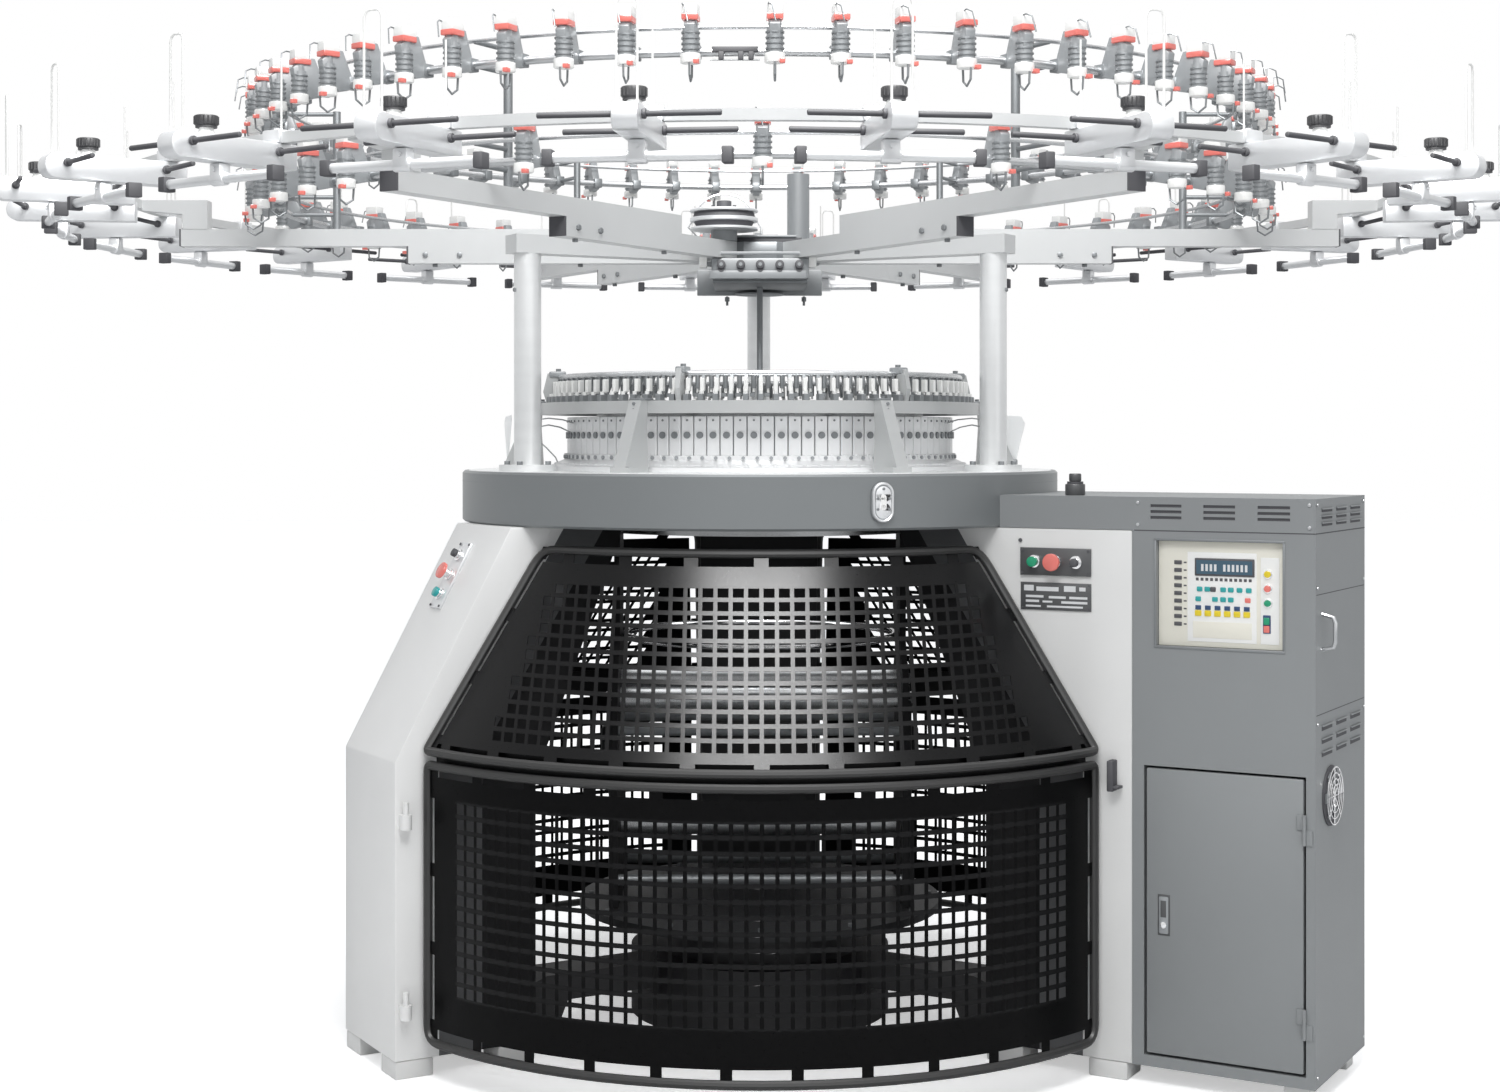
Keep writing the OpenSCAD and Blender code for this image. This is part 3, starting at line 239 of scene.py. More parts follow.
class Form:
    """A mesh under construction, in millimetres, in the machine's frame."""

    def __init__(self, smooth_angle: float = 35.0) -> None:
        """Starts an empty form.

        Args:
            smooth_angle: Edges sharper than this, in degrees, stay sharp.
        """
        self.bm = bmesh.new()
        self.smooth_angle = math.radians(smooth_angle)

    def _paint(self, faces: Iterable[bmesh.types.BMFace], slot: int) -> None:
        """Gives faces a material slot."""
        for face in faces:
            face.material_index = slot

    def _faces_of(self, verts: Iterable[bmesh.types.BMVert]) -> set[bmesh.types.BMFace]:
        """Returns the faces that touch some vertices."""
        return {face for vert in verts for face in vert.link_faces}

    def _island(self, verts: Iterable[bmesh.types.BMVert]) -> Verts:
        """Finds every vertex that edges join to some vertices.

        Args:
            verts: The vertices to start from.

        Returns:
            Them and all that hang together with them.
        """
        seen = set(verts)
        front = list(seen)
        while front:
            vert = front.pop()
            for edge in vert.link_edges:
                other = edge.other_vert(vert)
                if other not in seen:
                    seen.add(other)
                    front.append(other)
        return list(seen)

    def _soften(self, edges: Iterable[bmesh.types.BMEdge], radius: float, segments: int = 2) -> Verts:
        """Rounds some edges of one solid.

        Args:
            edges: The edges.
            radius: How far the rounding reaches.
            segments: Steps in each rounded edge.

        Returns:
            Every vertex of the solid.
        """
        done = bmesh.ops.bevel(self.bm, geom=list(edges), offset=radius, offset_type="OFFSET",
                               segments=segments, profile=0.5, affect="EDGES", material=-1)
        return self._island({vert for face in done["faces"] for vert in face.verts})

    def box(self, low: Point, high: Point, bevel: float = 0.0, slot: int = 0, segments: int = 2) -> Verts:
        """Adds a box with rounded edges.

        Args:
            low: Lowest corner.
            high: Highest corner.
            bevel: Radius of its edges.
            slot: Material slot.
            segments: Steps in each rounded edge.

        Returns:
            The new vertices.
        """
        size = [b - a for a, b in zip(low, high)]
        middle = Vector([(a + b) / 2 for a, b in zip(low, high)])
        made = bmesh.ops.create_cube(self.bm, size=1.0)["verts"]
        bmesh.ops.scale(self.bm, vec=size, verts=made)
        bmesh.ops.translate(self.bm, vec=middle, verts=made)
        faces = self._faces_of(made)
        self._paint(faces, slot)
        if bevel <= 0.0:
            return made
        return self._soften({edge for face in faces for edge in face.edges}, bevel, segments)

    def rod(self, start: Point, end: Point, d: float, sides: int = 16, slot: int = 0,
            d_end: float | None = None, bevel: float = 0.0) -> Verts:
        """Adds a straight round bar or cone between two points.

        Args:
            start: Centre of one end.
            end: Centre of the other end.
            d: Diameter at the start.
            sides: Steps around.
            slot: Material slot.
            d_end: Diameter at the end, when it tapers.
            bevel: Rounding of the two end rims.

        Returns:
            The new vertices.
        """
        a, b = Vector(start), Vector(end)
        run = b - a
        tip = d if d_end is None else d_end
        made = bmesh.ops.create_cone(self.bm, cap_ends=True, cap_tris=False, segments=sides,
                                     radius1=d / 2, radius2=tip / 2, depth=run.length)["verts"]
        turn = run.to_track_quat("Z", "Y").to_matrix().to_4x4()
        bmesh.ops.transform(self.bm, matrix=Matrix.Translation((a + b) / 2) @ turn, verts=made)
        faces = self._faces_of(made)
        self._paint(faces, slot)
        if bevel <= 0.0:
            return made
        caps = [face for face in faces if len(face.verts) == sides]
        return self._soften({edge for face in caps for edge in face.edges}, bevel)

    def lathe(self, outline: Sequence[Flat], steps: int = 96, arc: float = 360.0,
              start: float = 0.0, slot: int = 0) -> Verts:
        """Adds a turned shape about the machine's axis.

        Args:
            outline: Radius and height of each point of the closed section.
            steps: Steps around.
            arc: Angle that it spans, in degrees.
            start: Azimuth where it starts, in degrees.
            slot: Material slot.

        Returns:
            The new vertices.
        """
        verts = [self.bm.verts.new((r, 0.0, z)) for r, z in outline]
        edges = [self.bm.edges.new(pair) for pair in zip(verts, verts[1:] + verts[:1])]
        self.turn(verts, start)
        full = arc >= 360.0
        before = set(self.bm.verts) - set(verts)
        bmesh.ops.spin(self.bm, geom=verts + edges, cent=(0, 0, 0), axis=(0, 0, 1), dvec=(0, 0, 0),
                       angle=math.radians(arc), steps=steps, use_merge=full, use_duplicate=False)
        made = [vert for vert in self.bm.verts if vert not in before]
        if not full:
            rims = [edge for edge in {e for v in made for e in v.link_edges} if edge.is_boundary]
            bmesh.ops.holes_fill(self.bm, edges=rims, sides=0)
        self._paint(self._faces_of(made), slot)
        return made

    def prism(self, outline: Sequence[Flat], width: float, bevel: float = 0.0,
              slot: int = 0) -> Verts:
        """Adds an upright slab with an outline in the radial plane, centred on that plane.

        Args:
            outline: Radius and height of each corner.
            width: Thickness across the plane.
            bevel: Radius of its edges.
            slot: Material slot.

        Returns:
            The new vertices.
        """
        verts = [self.bm.verts.new((u, -width / 2, z)) for u, z in outline]
        face = self.bm.faces.new(verts)
        out = bmesh.ops.extrude_face_region(self.bm, geom=[face])
        moved = [item for item in out["geom"] if isinstance(item, bmesh.types.BMVert)]
        bmesh.ops.translate(self.bm, vec=(0, width, 0), verts=moved)
        made = verts + moved
        faces = self._faces_of(made)
        self._paint(faces, slot)
        if bevel <= 0.0:
            return made
        return self._soften({edge for item in faces for edge in item.edges}, bevel)

    def wire(self, path: Sequence[Point], d: float, sides: int = 8, slot: int = 0) -> Verts:
        """Adds a bent wire or tube along a path.

        Args:
            path: Points on its centre line.
            d: Diameter.
            sides: Steps around.
            slot: Material slot.

        Returns:
            The new vertices.
        """
        points = [Vector(p) for p in path]
        frames = []
        lead = (points[1] - points[0]).normalized()
        side = lead.orthogonal().normalized()
        for i, point in enumerate(points):
            back = (point - points[i - 1]).normalized() if i else lead
            ahead = (points[i + 1] - point).normalized() if i + 1 < len(points) else back
            along = (back + ahead).normalized()
            side = (side - along * side.dot(along)).normalized()
            turn = Matrix((side, along.cross(side), along)).transposed().to_4x4()
            frames.append(Matrix.Translation(point) @ turn)
        made = list(bmesh.ops.create_circle(self.bm, cap_ends=True, radius=d / 2, segments=sides)["verts"])
        edges = list({edge for vert in made for edge in vert.link_edges})
        bmesh.ops.transform(self.bm, matrix=frames[0], verts=made)
        for last, now in zip(frames, frames[1:]):
            out = bmesh.ops.extrude_edge_only(self.bm, edges=edges)["geom"]
            moved = [item for item in out if isinstance(item, bmesh.types.BMVert)]
            edges = [item for item in out if isinstance(item, bmesh.types.BMEdge)]
            bmesh.ops.transform(self.bm, matrix=now @ last.inverted(), verts=moved)
            made += moved
        bmesh.ops.holes_fill(self.bm, edges=edges, sides=0)
        self._paint(self._faces_of(made), slot)
        return made

    def pane(self, low: Flat, high: Flat, cols: int, rows: int,
             open_cell: Callable[[int, int], bool] | None = None, bar: float = 0.0) -> None:
        """Adds a flat sheet in the XY plane, with square holes punched where asked.

        Args:
            low: Its low corner.
            high: Its high corner.
            cols: Cells along X.
            rows: Cells along Y.
            open_cell: Tells by column and row whether a cell is a hole.
            bar: Half of the bar left between two holes.
        """
        grid = bmesh.ops.create_grid(self.bm, x_segments=cols, y_segments=rows, size=0.5)["verts"]
        span = (high[0] - low[0], high[1] - low[1], 1.0)
        bmesh.ops.scale(self.bm, vec=span, verts=grid)
        bmesh.ops.translate(self.bm, vec=((low[0] + high[0]) / 2, (low[1] + high[1]) / 2, 0), verts=grid)
        if open_cell is None:
            return
        holes = []
        for face in self._faces_of(grid):
            centre = face.calc_center_median()
            col = int((centre.x - low[0]) / span[0] * cols)
            row = int((centre.y - low[1]) / span[1] * rows)
            if open_cell(col, row):
                holes.append(face)
        bmesh.ops.inset_individual(self.bm, faces=holes, thickness=bar, depth=0.0, use_even_offset=True)
        bmesh.ops.delete(self.bm, geom=holes, context="FACES_ONLY")

    def turn(self, verts: Iterable[bmesh.types.BMVert], azimuth: float) -> None:
        """Turns vertices about the machine's axis by an angle in degrees."""
        bmesh.ops.rotate(self.bm, cent=(0, 0, 0), matrix=spin_about(azimuth), verts=list(verts))

    def shift(self, verts: Iterable[bmesh.types.BMVert], by: Point) -> None:
        """Moves vertices by a step in millimetres."""
        bmesh.ops.translate(self.bm, vec=by, verts=list(verts))

    def around(self, count: int, phase: float = 0.0, skip: Callable[[float], bool] | None = None,
               step: float | None = None) -> Form:
        """Repeats everything made so far about the machine's axis.

        Args:
            count: How many places there are.
            phase: Azimuth of the first one in degrees.
            skip: Tells which azimuths stay empty.
            step: Angle between two places, when they don't share the full turn evenly.

        Returns:
            A new form with all the copies.
        """
        seed = bpy.data.meshes.new("seed")
        bmesh.ops.recalc_face_normals(self.bm, faces=self.bm.faces)
        self.bm.to_mesh(seed)
        self.bm.free()
        out = Form(math.degrees(self.smooth_angle))
        for i in range(count):
            azimuth = phase + i * (360.0 / count if step is None else step)
            if skip is not None and skip(azimuth):
                continue
            held = len(out.bm.verts)
            out.bm.from_mesh(seed)
            out.bm.verts.ensure_lookup_table()
            out.turn(out.bm.verts[held:], azimuth)
        bpy.data.meshes.remove(seed)
        return out

    def piece(self, name: str, finishes: Sequence[Finish], body: str = "frame", outward: bool = True,
              replaces: Sequence[str] = (), slot: str | None = None) -> bpy.types.Object:
        """Ends the form as a scene object that rides on a body.

        Args:
            name: Name of the object.
            finishes: One finish for each material slot.
            body: The body that it moves with.
            outward: True to turn every face outwards.
            replaces: Frame nodes that it stands for.
            slot: Name of a material slot; not used.

        Returns:
            The finished object.
        """
        if outward:
            bmesh.ops.recalc_face_normals(self.bm, faces=self.bm.faces)
        bmesh.ops.scale(self.bm, vec=(MM, MM, MM), verts=self.bm.verts)
        for face in self.bm.faces:
            face.smooth = True
        for edge in self.bm.edges:
            if len(edge.link_faces) == 2 and edge.calc_face_angle(0.0) > self.smooth_angle:
                edge.smooth = False
        mesh = bpy.data.meshes.new(name)
        self.bm.to_mesh(mesh)
        self.bm.free()
        for finish in finishes:
            mesh.materials.append(finish.material())
        made = bpy.data.objects.new(name, mesh)
        bpy.context.scene.collection.objects.link(made)
        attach(made, body)
        if replaces:
            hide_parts(*replaces)
        LOG.info("%s: %d faces", name, len(mesh.polygons))
        return made


@dataclass(frozen=True)
class Lamp:
    """One soft rectangular lamp, in metres and watts.

    Attributes:
        name: Name of the lamp.
        place: Where it hangs.
        aim: What it points at.
        size: Width and height.
        power: Power.
        sheen: True for a lamp that shows in reflections only.
    """

    name: str
    place: Point
    aim: Point
    size: Flat
    power: float
    sheen: bool = False

    def build(self) -> None:
        """Hangs the lamp and points it."""
        data = bpy.data.lights.new(self.name, "AREA")
        data.shape = "RECTANGLE"
        data.size, data.size_y = self.size
        data.energy = self.power
        made = bpy.data.objects.new(self.name, data)
        made.location = self.place
        made.rotation_euler = (Vector(self.aim) - Vector(self.place)).to_track_quat("-Z", "Y").to_euler()
        made.visible_diffuse = not self.sheen
        bpy.context.scene.collection.objects.link(made)


@dataclass
class Studio:
    """Camera, lamps, floor and background.

    Attributes:
        eye: Place of the camera.
        lens: Focal length.
        sensor: Width of the sensor.
        horizon_px: Row of the photograph on which the horizon lies.
        picture_px: Width and height of the photograph.
        sky: Colour of the soft light from all around.
        sky_power: Its strength.
        floor_half: Half of the floor's width, in metres.
        floor_gray: Brightness of the floor.
        floor_lift: Light that it adds where the camera sees it, so that it looks white.
        lamps: Every lamp.
    """

    eye: Point = (-23.0, -5150.0, 1330.0)
    lens: float = 52.8
    sensor: float = 36.0
    horizon_px: float = 437.0
    picture_px: tuple[int, int] = (1500, 1092)
    sky: Point = (0.95, 0.97, 1.0)
    sky_power: float = 0.55
    floor_half: float = 30.0
    floor_gray: float = 0.93
    floor_lift: float = 0.47
    lamps: tuple[Lamp, ...] = (
        Lamp("key", (0.0, -3.4, 4.3), (0.0, -0.5, 0.8), (1.6, 1.6), 105.0),
        Lamp("sheen", (0.0, -2.6, 3.9), (0.0, -0.78, 0.88), (2.4, 0.9), 450.0, sheen=True),
        Lamp("fill", (3.6, -5.2, 2.2), (0.2, 0.0, 0.9), (3.0, 3.0), 16.0),
        Lamp("top", (0.0, 0.6, 5.0), (0.0, 0.0, 1.0), (3.5, 3.5), 70.0),
    )

    def camera(self) -> None:
        """Places the camera at the photograph's angle."""
        data = bpy.data.cameras.new("camera")
        data.lens = self.lens
        data.sensor_width = self.sensor
        data.shift_y = (self.horizon_px - self.picture_px[1] / 2) / self.picture_px[0]
        data.clip_end = 100.0
        made = bpy.data.objects.new("camera", data)
        made.location = [v * MM for v in self.eye]
        made.rotation_euler = (math.radians(90.0), 0.0, 0.0)
        bpy.context.scene.collection.objects.link(made)
        bpy.context.scene.camera = made

    def world(self) -> None:
        """Makes a plain soft sky that looks white behind the object."""
        sky = bpy.data.worlds.new("studio")
        sky.use_nodes = True
        nodes, links = sky.node_tree.nodes, sky.node_tree.links
        nodes.clear()
        out = nodes.new("ShaderNodeOutputWorld")
        soft = nodes.new("ShaderNodeBackground")
        soft.inputs["Color"].default_value = (*self.sky, 1.0)
        soft.inputs["Strength"].default_value = self.sky_power
        white = nodes.new("ShaderNodeBackground")
        white.inputs["Color"].default_value = (1.0, 1.0, 1.0, 1.0)
        white.inputs["Strength"].default_value = 1.0
        path = nodes.new("ShaderNodeLightPath")
        both = nodes.new("ShaderNodeMath")
        both.operation = "MAXIMUM"
        seen = nodes.new("ShaderNodeMath")
        seen.operation = "MAXIMUM"
        links.new(path.outputs["Is Camera Ray"], both.inputs[0])
        links.new(path.outputs["Is Glossy Ray"], both.inputs[1])
        links.new(both.outputs[0], seen.inputs[0])
        links.new(path.outputs["Is Transmission Ray"], seen.inputs[1])
        mix = nodes.new("ShaderNodeMixShader")
        links.new(seen.outputs[0], mix.inputs["Fac"])
        links.new(soft.outputs[0], mix.inputs[1])
        links.new(white.outputs[0], mix.inputs[2])
        links.new(mix.outputs[0], out.inputs["Surface"])
        bpy.context.scene.world = sky

    def floor(self) -> None:
        """Lays a plain pale floor that keeps the object's shadow."""
        bm = bmesh.new()
        bmesh.ops.create_grid(bm, x_segments=1, y_segments=1, size=self.floor_half)
        mesh = bpy.data.meshes.new("floor")
        bm.to_mesh(mesh)
        bm.free()
        paint = bpy.data.materials.new("floor_white")
        paint.use_nodes = True
        nodes, links = paint.node_tree.nodes, paint.node_tree.links
        shader = nodes["Principled BSDF"]
        shader.inputs["Base Color"].default_value = (self.floor_gray, self.floor_gray, self.floor_gray, 1.0)
        shader.inputs["Roughness"].default_value = 0.9
        lift = nodes.new("ShaderNodeEmission")
        lift.inputs["Strength"].default_value = self.floor_lift
        seen = nodes.new("ShaderNodeLightPath")
        dark = nodes.new("ShaderNodeEmission")
        dark.inputs["Strength"].default_value = 0.0
        choose = nodes.new("ShaderNodeMixShader")
        both = nodes.new("ShaderNodeAddShader")
        links.new(seen.outputs["Is Camera Ray"], choose.inputs["Fac"])
        links.new(dark.outputs[0], choose.inputs[1])
        links.new(lift.outputs[0], choose.inputs[2])
        links.new(shader.outputs[0], both.inputs[0])
        links.new(choose.outputs[0], both.inputs[1])
        links.new(both.outputs[0], nodes["Material Output"].inputs["Surface"])
        mesh.materials.append(paint)
        made = bpy.data.objects.new("floor", mesh)
        bpy.context.scene.collection.objects.link(made)

    def build(self) -> None:
        """Sets up everything that isn't the machine."""
        self.camera()
        self.world()
        for lamp in self.lamps:
            lamp.build()
        self.floor()
        bpy.context.scene.view_settings.view_transform = "Standard"


@dataclass
class GuardThird:
    """One third of the guard drum: perforated sheet, tube rim, tabs and slots.

    Attributes:
        azimuth: Direction that it faces in degrees.
        play: Gap between its rim and the legs.
        rim_d: Diameter of the rim tube.
        sheet_t: Thickness of the sheet.
        slot: Width of the slots between the rim and the sheet.
        bar: Half of the bar between two holes.
        r_low: Radius of the drum and of the cone's foot.
        r_top: Radius of the cone's head.
        z_low: Heights of the drum's two rims.
        z_up: Heights of the cone's two rims.
        mesh_half: Half of the angle that the drum's mesh spans, and the cone's.
        mesh_low: Heights between which the drum is meshed.
        mesh_up: Heights between which the cone is meshed.
        tab_rows: Heights of the drum's two middle tabs on each side.
        tab_ends: Where the lowest tab ends and the highest one starts.
        slots_low: How many slots the drum has above and below its sheet.
        slots_up: How many slots the cone has above and below its sheet.
        rounds_low: Radius of the lower and the upper corners of the drum's rim.
        rounds_up: Radius of the lower and the upper corners of the cone's rim.
        arc_steps: Steps along a rim's level arc.
        turn_steps: Steps in its rounded corners.
    """

    azimuth: float
    play: float = 0.3
    rim_d: float = 19.0
    sheet_t: float = 1.6
    slot: float = 14.0
    bar: float = 4.2
    r_low: float = 908.0
    r_top: float = 649.0
    z_low: Flat = (79.0, 651.0)
    z_up: Flat = (679.0, 1091.0)
    mesh_half: Flat = (43.4, 40.0)
    mesh_low: Flat = (184.0, 588.0)
    mesh_up: Flat = (712.0, 1027.0)
    tab_rows: tuple[Flat, Flat] = ((262.0, 288.0), (424.0, 450.0))
    tab_ends: Flat = (127.0, 586.0)
    slots_low: int = 11
    slots_up: int = 12
    rounds_low: Flat = (36.0, 12.0)
    rounds_up: Flat = (12.0, 42.0)
    arc_steps: int = 24
    turn_steps: int = 5

    def half(self, r: float, extra: float = 0.0) -> float:
        """Returns half of the angle in radians that the third spans at a radius.

        Args:
            r: Radius.
            extra: Distance from the rim's centre line to the edge asked for.

        Returns:
            The half angle.
        """
        n = HALF_LEG + self.play + self.rim_d / 2 + extra
        return math.radians(60.0) - math.asin(n / r)

    def cone_r(self, z: float) -> float:
        """Returns the cone's radius at a height."""
        t = (z - self.z_up[0]) / (self.z_up[1] - self.z_up[0])
        return self.r_low + (self.r_top - self.r_low) * t

    def _rim(self, form: Form, ends: Sequence[Point], rounds: Flat) -> None:
        """Adds a closed tube through four corners with rounded turns.

        Args:
            form: The form that it is added to.
            ends: Radius, height and half angle of the two level arcs.
            rounds: Radius of the lower and of the upper corners.
        """
        steps = self.arc_steps
        path = []
        for way, (r, z, half) in zip((-1, 1), ends):
            for i in range(steps + 1):
                a = way * (half - 2 * half * i / steps)
                path.append(Vector((r * math.cos(a), r * math.sin(a), z)))
        soft: list[Point] = []
        for i, at in enumerate(path):
            if i % (steps + 1) not in (0, steps):
                soft.append(tuple(at))
                continue
            before, after = path[i - 1], path[(i + 1) % len(path)]
            reach = rounds[0] if i <= steps else rounds[1]
            one = at + (before - at).normalized() * reach
            two = at + (after - at).normalized() * reach
            for k in range(self.turn_steps + 1):
                t = k / self.turn_steps
                soft.append(tuple(one * (1 - t) ** 2 + at * 2 * t * (1 - t) + two * t ** 2))
        form.wire([*soft, soft[0], soft[1]], self.rim_d, sides=10, slot=1)

    def _tabs(self, form: Form, edge: float, count: int, z: Flat, width: float) -> None:
        """Adds the tabs between long slots, flat in the XY plane.

        Args:
            form: The form that they are added to.
            edge: Half of the row's length.
            count: How many slots there are.
            z: Low and high edge of the slots.
            width: Width of a tab.
        """
        for i in range(count + 1):
            x = -edge + 2 * edge * i / count
            form.pane((x - width / 2, z[0]), (x + width / 2, z[1]), 1, 1)

    def lower(self, name: str, node: str, body: str = "frame") -> bpy.types.Object:
        """Builds the drum part below.

        Args:
            name: Name of the piece.
            node: Frame node that it stands for.
            body: Body that it moves with.

        Returns:
            The finished object.
        """
        form = Form(30.0)
        r = self.r_low
        z0, z1 = self.z_low
        edge = self.half(r, self.rim_d / 2 + self.slot) * r
        rim = self.half(r) * r
        window = math.radians(self.mesh_half[0]) * r
        w0, w1 = self.mesh_low
        sheet0, sheet1 = z0 + 31.0, z1 - 22.0
        cols, rows, bend = 46, 13, 60
        form.pane((-window, w0), (window, w1), cols, rows, lambda col, row: True, self.bar)
        form.pane((-edge, sheet0), (edge, w0), bend, 2)
        form.pane((-edge, w1), (edge, sheet1), bend, 1)
        for s in (-1, 1):
            low, high = sorted((s * window, s * edge))
            form.pane((low, w0), (high, w1), 3, rows)
            low, high = sorted((s * edge, s * rim))
            for tab0, tab1 in ((sheet0, self.tab_ends[0]), *self.tab_rows, (self.tab_ends[1], sheet1)):
                form.pane((low, tab0), (high, tab1), 1, 1)
        self._tabs(form, edge, self.slots_low, (z0, sheet0), 24.0)
        self._tabs(form, edge, self.slots_low, (sheet1, z1), 28.0)
        for vert in form.bm.verts:
            a, z = vert.co.x / r, vert.co.y
            vert.co = (r * math.cos(a), r * math.sin(a), z)
        bmesh.ops.solidify(form.bm, geom=form.bm.faces[:], thickness=self.sheet_t)
        a = self.half(r)
        self._rim(form, ((r, z0, a), (r, z1, a)), self.rounds_low)
        form.turn(form.bm.verts, self.azimuth)
        return form.piece(name, [Paint.GUARD_BLACK, Paint.GLOSS_BLACK], body, replaces=[node],
                          slot="gloss_black")

    def upper(self, name: str, node: str) -> bpy.types.Object:
        """Builds the cone part above.

        Args:
            name: Name of the piece.
            node: Frame node that it stands for.

        Returns:
            The finished object.
        """
        form = Form(30.0)
        z0, z1 = self.z_up
        w0, w1 = self.mesh_up
        pitch, rows, cols = 31.1, 12, 56
        half_x = cols * pitch / 2

        def is_hole(col: int, row: int) -> bool:
            """Tells whether a cell of the cone is punched."""
            reach = self.cone_r(w0 + (row + 0.5) * (w1 - w0) / rows) * math.radians(self.mesh_half[1])
            return (abs(col + 0.5 - cols / 2) + 0.5) * pitch < reach

        foot, head = z0 + 17.0, z1 - 26.0
        form.pane((-half_x, w0), (half_x, w1), cols, rows, is_hole, self.bar)
        form.pane((-half_x, foot), (half_x, w0), cols, 1)
        form.pane((-half_x, w1), (half_x, head), cols, 1)
        self._tabs(form, half_x, self.slots_up, (z0, foot), 30.0)
        self._tabs(form, half_x, self.slots_up, (head, z1), 30.0)
        for vert in form.bm.verts:
            r = self.cone_r(vert.co.y)
            a = vert.co.x / r
            vert.co = (r * math.cos(a), r * math.sin(a), vert.co.y)
        n_edge = HALF_LEG + self.play + self.rim_d + self.slot
        for s in (-1, 1):
            a = math.radians(s * 60.0)
            across = Vector((-math.sin(a), math.cos(a), 0.0)) * s
            bmesh.ops.bisect_plane(form.bm, geom=form.bm.verts[:] + form.bm.edges[:] + form.bm.faces[:],
                                   dist=0.001, plane_co=-across * n_edge, plane_no=across, clear_outer=True)
        bmesh.ops.solidify(form.bm, geom=form.bm.faces[:], thickness=self.sheet_t)
        for s in (-1, 1):
            for share in (0.0, 0.31, 0.62, 0.93):
                tab0 = z0 + (z1 - z0) * share + 8.0
                tab1 = z0 + (z1 - z0) * share + 34.0
                r0, r1 = self.cone_r(tab0), self.cone_r(tab1)
                low, high = sorted((s * self.half(r0, self.rim_d / 2 + self.slot + 2.0), s * self.half(r0)))
                form.lathe([(r0, tab0), (r1, tab1), (r1 - self.sheet_t, tab1), (r0 - self.sheet_t, tab0)],
                           steps=1, arc=math.degrees(high - low), start=math.degrees(low))
        skirt, back = self.r_low - 24.0, self.r_low - 21.5
        a = self.half(skirt)
        form.lathe([(skirt, z0 - 36.0), (back, z0 - 36.0), (back, z0 + 24.0), (skirt, z0 + 24.0)], steps=32,
                   arc=math.degrees(2 * a), start=-math.degrees(a))
        self._rim(form, ((self.r_low, z0, self.half(self.r_low)), (self.r_top, z1, self.half(self.r_top))),
                  self.rounds_up)
        form.turn(form.bm.verts, self.azimuth)
        return form.piece(name, [Paint.GUARD_BLACK, Paint.GLOSS_BLACK], replaces=[node], slot="gloss_black")


@dataclass
class Guards:
    """The six guards between the legs.

    Attributes:
        back: Directions that the two rear thirds face.
        gate_play: Gap between the gate's rim and the legs.
    """

    back: Flat = (30.0, 150.0)
    gate_play: float = 6.0

    def build(self) -> None:
        """Builds the gate, the fixed thirds and the cones."""
        GuardThird(FRONT, play=self.gate_play).lower("gate_sheet", "front_gate", "gate")
        GuardThird(FRONT).upper("cone_front", "upper_guard_front")
        for azimuth, side in zip(self.back, ("right", "left")):
            GuardThird(azimuth).lower(f"drum_{side}", f"lower_guard_{side}")
            GuardThird(azimuth).upper(f"cone_{side}", f"upper_guard_{side}")


